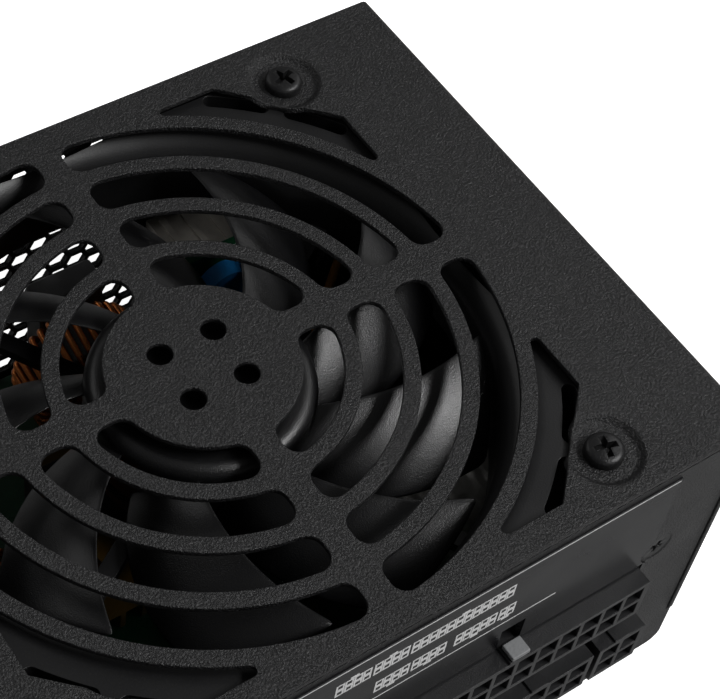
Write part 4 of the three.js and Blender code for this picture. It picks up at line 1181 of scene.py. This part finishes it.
# ---- Boards: green laminate with their soldered joints ----
# The main board lies on its posts over an insulating sheet; the modular board stands behind the sockets
# and the input board behind the inlet. Solder cones mark every socket pin on the modular board's back.
laminate = grained("green_laminate", (0.004, 0.05, 0.02), (0.006, 0.08, 0.03), 1.6, 0.12, 0.6, (0.25, 0.4))
mica_sheet = grained("insulating_sheet", (0.03, 0.03, 0.032), (0.05, 0.05, 0.05), 0.8, 0.1, 0.5, (0.4, 0.5))
solder = grained("solder", (0.55, 0.55, 0.56), (0.4, 0.4, 0.41), 0.4, 0.1, 0.5, (0.25, 0.4), 1.0)
eased("main_board", laminate, 0.12)
eased("modular_board", laminate, 0.12)
eased("input_board", laminate, 0.12)
eased("insulation_sheet", mica_sheet, 0.08)
for number in (1, 2, 3, 4):
    eased(f"standoff_{number}", bronze, 0.15)
    eased(f"board_screw_{number}", bare_steel, 0.15)
board_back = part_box("modular_board")[1].y
for name, columns in sockets:
    low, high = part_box(name)
    bm = turned([(0, -0.1), (1.1, -0.1), (0.8, 0.35), (0.42, 0.9), (0.3, 1.5), (0, 1.6)], 12)
    cone = to_object(bm, "cone", "case", solder)
    cones = grown("solder_" + name[7:], cell_grid, {
        "Columns": columns, "Rows": 2, "Column Pitch": socket_cell * MM, "Row Pitch": socket_cell * MM,
        "Cell": cone, "Material": solder})
    bpy.data.objects.remove(cone)
    middle = Vector(((low.x + high.x) / 2, board_back, low.z + (housing_wall + socket_cell) * MM))
    cones.data.transform(Matrix.Translation(middle) @ Matrix.Rotation(-quarter, 4, "X"))
    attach(cones, "case")

# ---- Parts on the boards ----
# The transformer with its taped coil, the heatsinks and the transistor, and the capacitors. The large one
# lies on its side in a crinkled silver sleeve; the small disc is dipped in blue.
tape_yellow = grained("winding_tape", (0.16, 0.09, 0.012), (0.1, 0.055, 0.008), 1.2, 0.1, 0.6, (0.3, 0.45))
black_metal = grained("heatsink_metal", (0.12, 0.12, 0.125), (0.2, 0.2, 0.2), 0.5, 0.15, 0.5,
                      (0.35, 0.5), 0.9)
can_sleeve = grained("capacitor_sleeve", (0.02, 0.022, 0.03), (0.03, 0.032, 0.04), 0.8, 0.08, 0.5,
                     (0.25, 0.36))
disc_blue = grained("blue_ceramic", (0.012, 0.19, 0.5), (0.02, 0.26, 0.6), 0.8, 0.15, 0.5, (0.25, 0.4))
box_grey = grained("grey_case", (0.07, 0.07, 0.072), (0.1, 0.1, 0.1), 0.5, 0.12, 0.5, (0.35, 0.5))
nylon_white = grained("white_nylon", (0.6, 0.58, 0.5), (0.5, 0.48, 0.42), 0.5, 0.1, 0.5, (0.4, 0.55))
eased("transformer_core", ferrite, 0.3)
eased("transformer_winding", tape_yellow, 0.9, 4)
eased("heatsink_primary", black_metal, 0.2)
eased("heatsink_secondary", black_metal, 0.2)
eased("power_transistor", inlet_black, 0.3)
eased("output_capacitor_1", can_sleeve, 0.35, 3)
eased("output_capacitor_2", can_sleeve, 0.35, 3)
eased("disc_capacitor", disc_blue, 0.9, 4)
eased("filter_capacitor", box_grey, 0.6, 3)
eased("fan_header", nylon_white, 0.3)
foil_silver = grained("foil_sleeve", (0.52, 0.51, 0.48), (0.4, 0.39, 0.37), 1.5, 0.5, 0.6,
                      (0.22, 0.42), 0.6)
low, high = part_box("bulk_capacitor")
can_radius = (high.y - low.y) / 2 / MM
can_middle = Vector(((low.x + high.x) / 2, (low.y + high.y) / 2, high.z - can_radius * MM))
can_half = (high.x - low.x) / 2 / MM
profile = [(0, -can_half), (can_radius - 2.2, -can_half), (can_radius - 1.0, -can_half + 0.4)]
profile += [(can_radius - 0.5, -can_half + 1.2 + (2 * can_half - 2.4) * i / 60) for i in range(61)]
profile += [(can_radius - 1.0, can_half - 0.4), (can_radius - 2.2, can_half), (0, can_half)]
bm = turned(profile, 120)
for vert in bm.verts:
    across = math.hypot(vert.co.x, vert.co.y)
    if across > can_radius - 1:
        turn_at = math.atan2(vert.co.y, vert.co.x)
        fold = math.sin(3.1 * turn_at + 0.45 * vert.co.z) * math.sin(0.9 * vert.co.z + 2 * turn_at)
        fold += 0.7 * math.sin(7 * turn_at - 1.3 * vert.co.z) * math.sin(5 * turn_at + 0.6 * vert.co.z)
        swell = 0.42 * (abs(fold) - 0.9)
        vert.co.x *= (across + swell) / across
        vert.co.y *= (across + swell) / across
sleeve = to_object(bm, "capacitor_wrap", "case", foil_silver)
sleeve.data.transform(Matrix.Translation(can_middle) @ Matrix.Rotation(quarter, 4, "Y"))
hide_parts("bulk_capacitor")

# ---- Leads: the fan's lead and the switch's lead ----
# Thin stranded wire in soft sleeves, laid from the fan to its header and from the switch to the board.
lead_black = grained("lead_black", (0.012, 0.012, 0.012), (0.02, 0.02, 0.02), 0.5, 0.1, 0.5, (0.35, 0.5))
lead_orange = grained("lead_orange", (0.6, 0.26, 0.04), (0.5, 0.2, 0.03), 0.5, 0.1, 0.5, (0.3, 0.45))
for name, material, slot_name in (("fan_lead", lead_black, "black_wire"),
                                  ("switch_lead", lead_orange, "orange_wire")):
    lead = cad_copy(name)
    lead.data.materials.append(material)
    for face in lead.data.polygons:
        face.use_smooth = True
    rounding = lead.modifiers.new("rounding", "SUBSURF")
    rounding.levels = rounding.render_levels = 1
    settle(lead)
    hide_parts(name)
    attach(lead, "case")
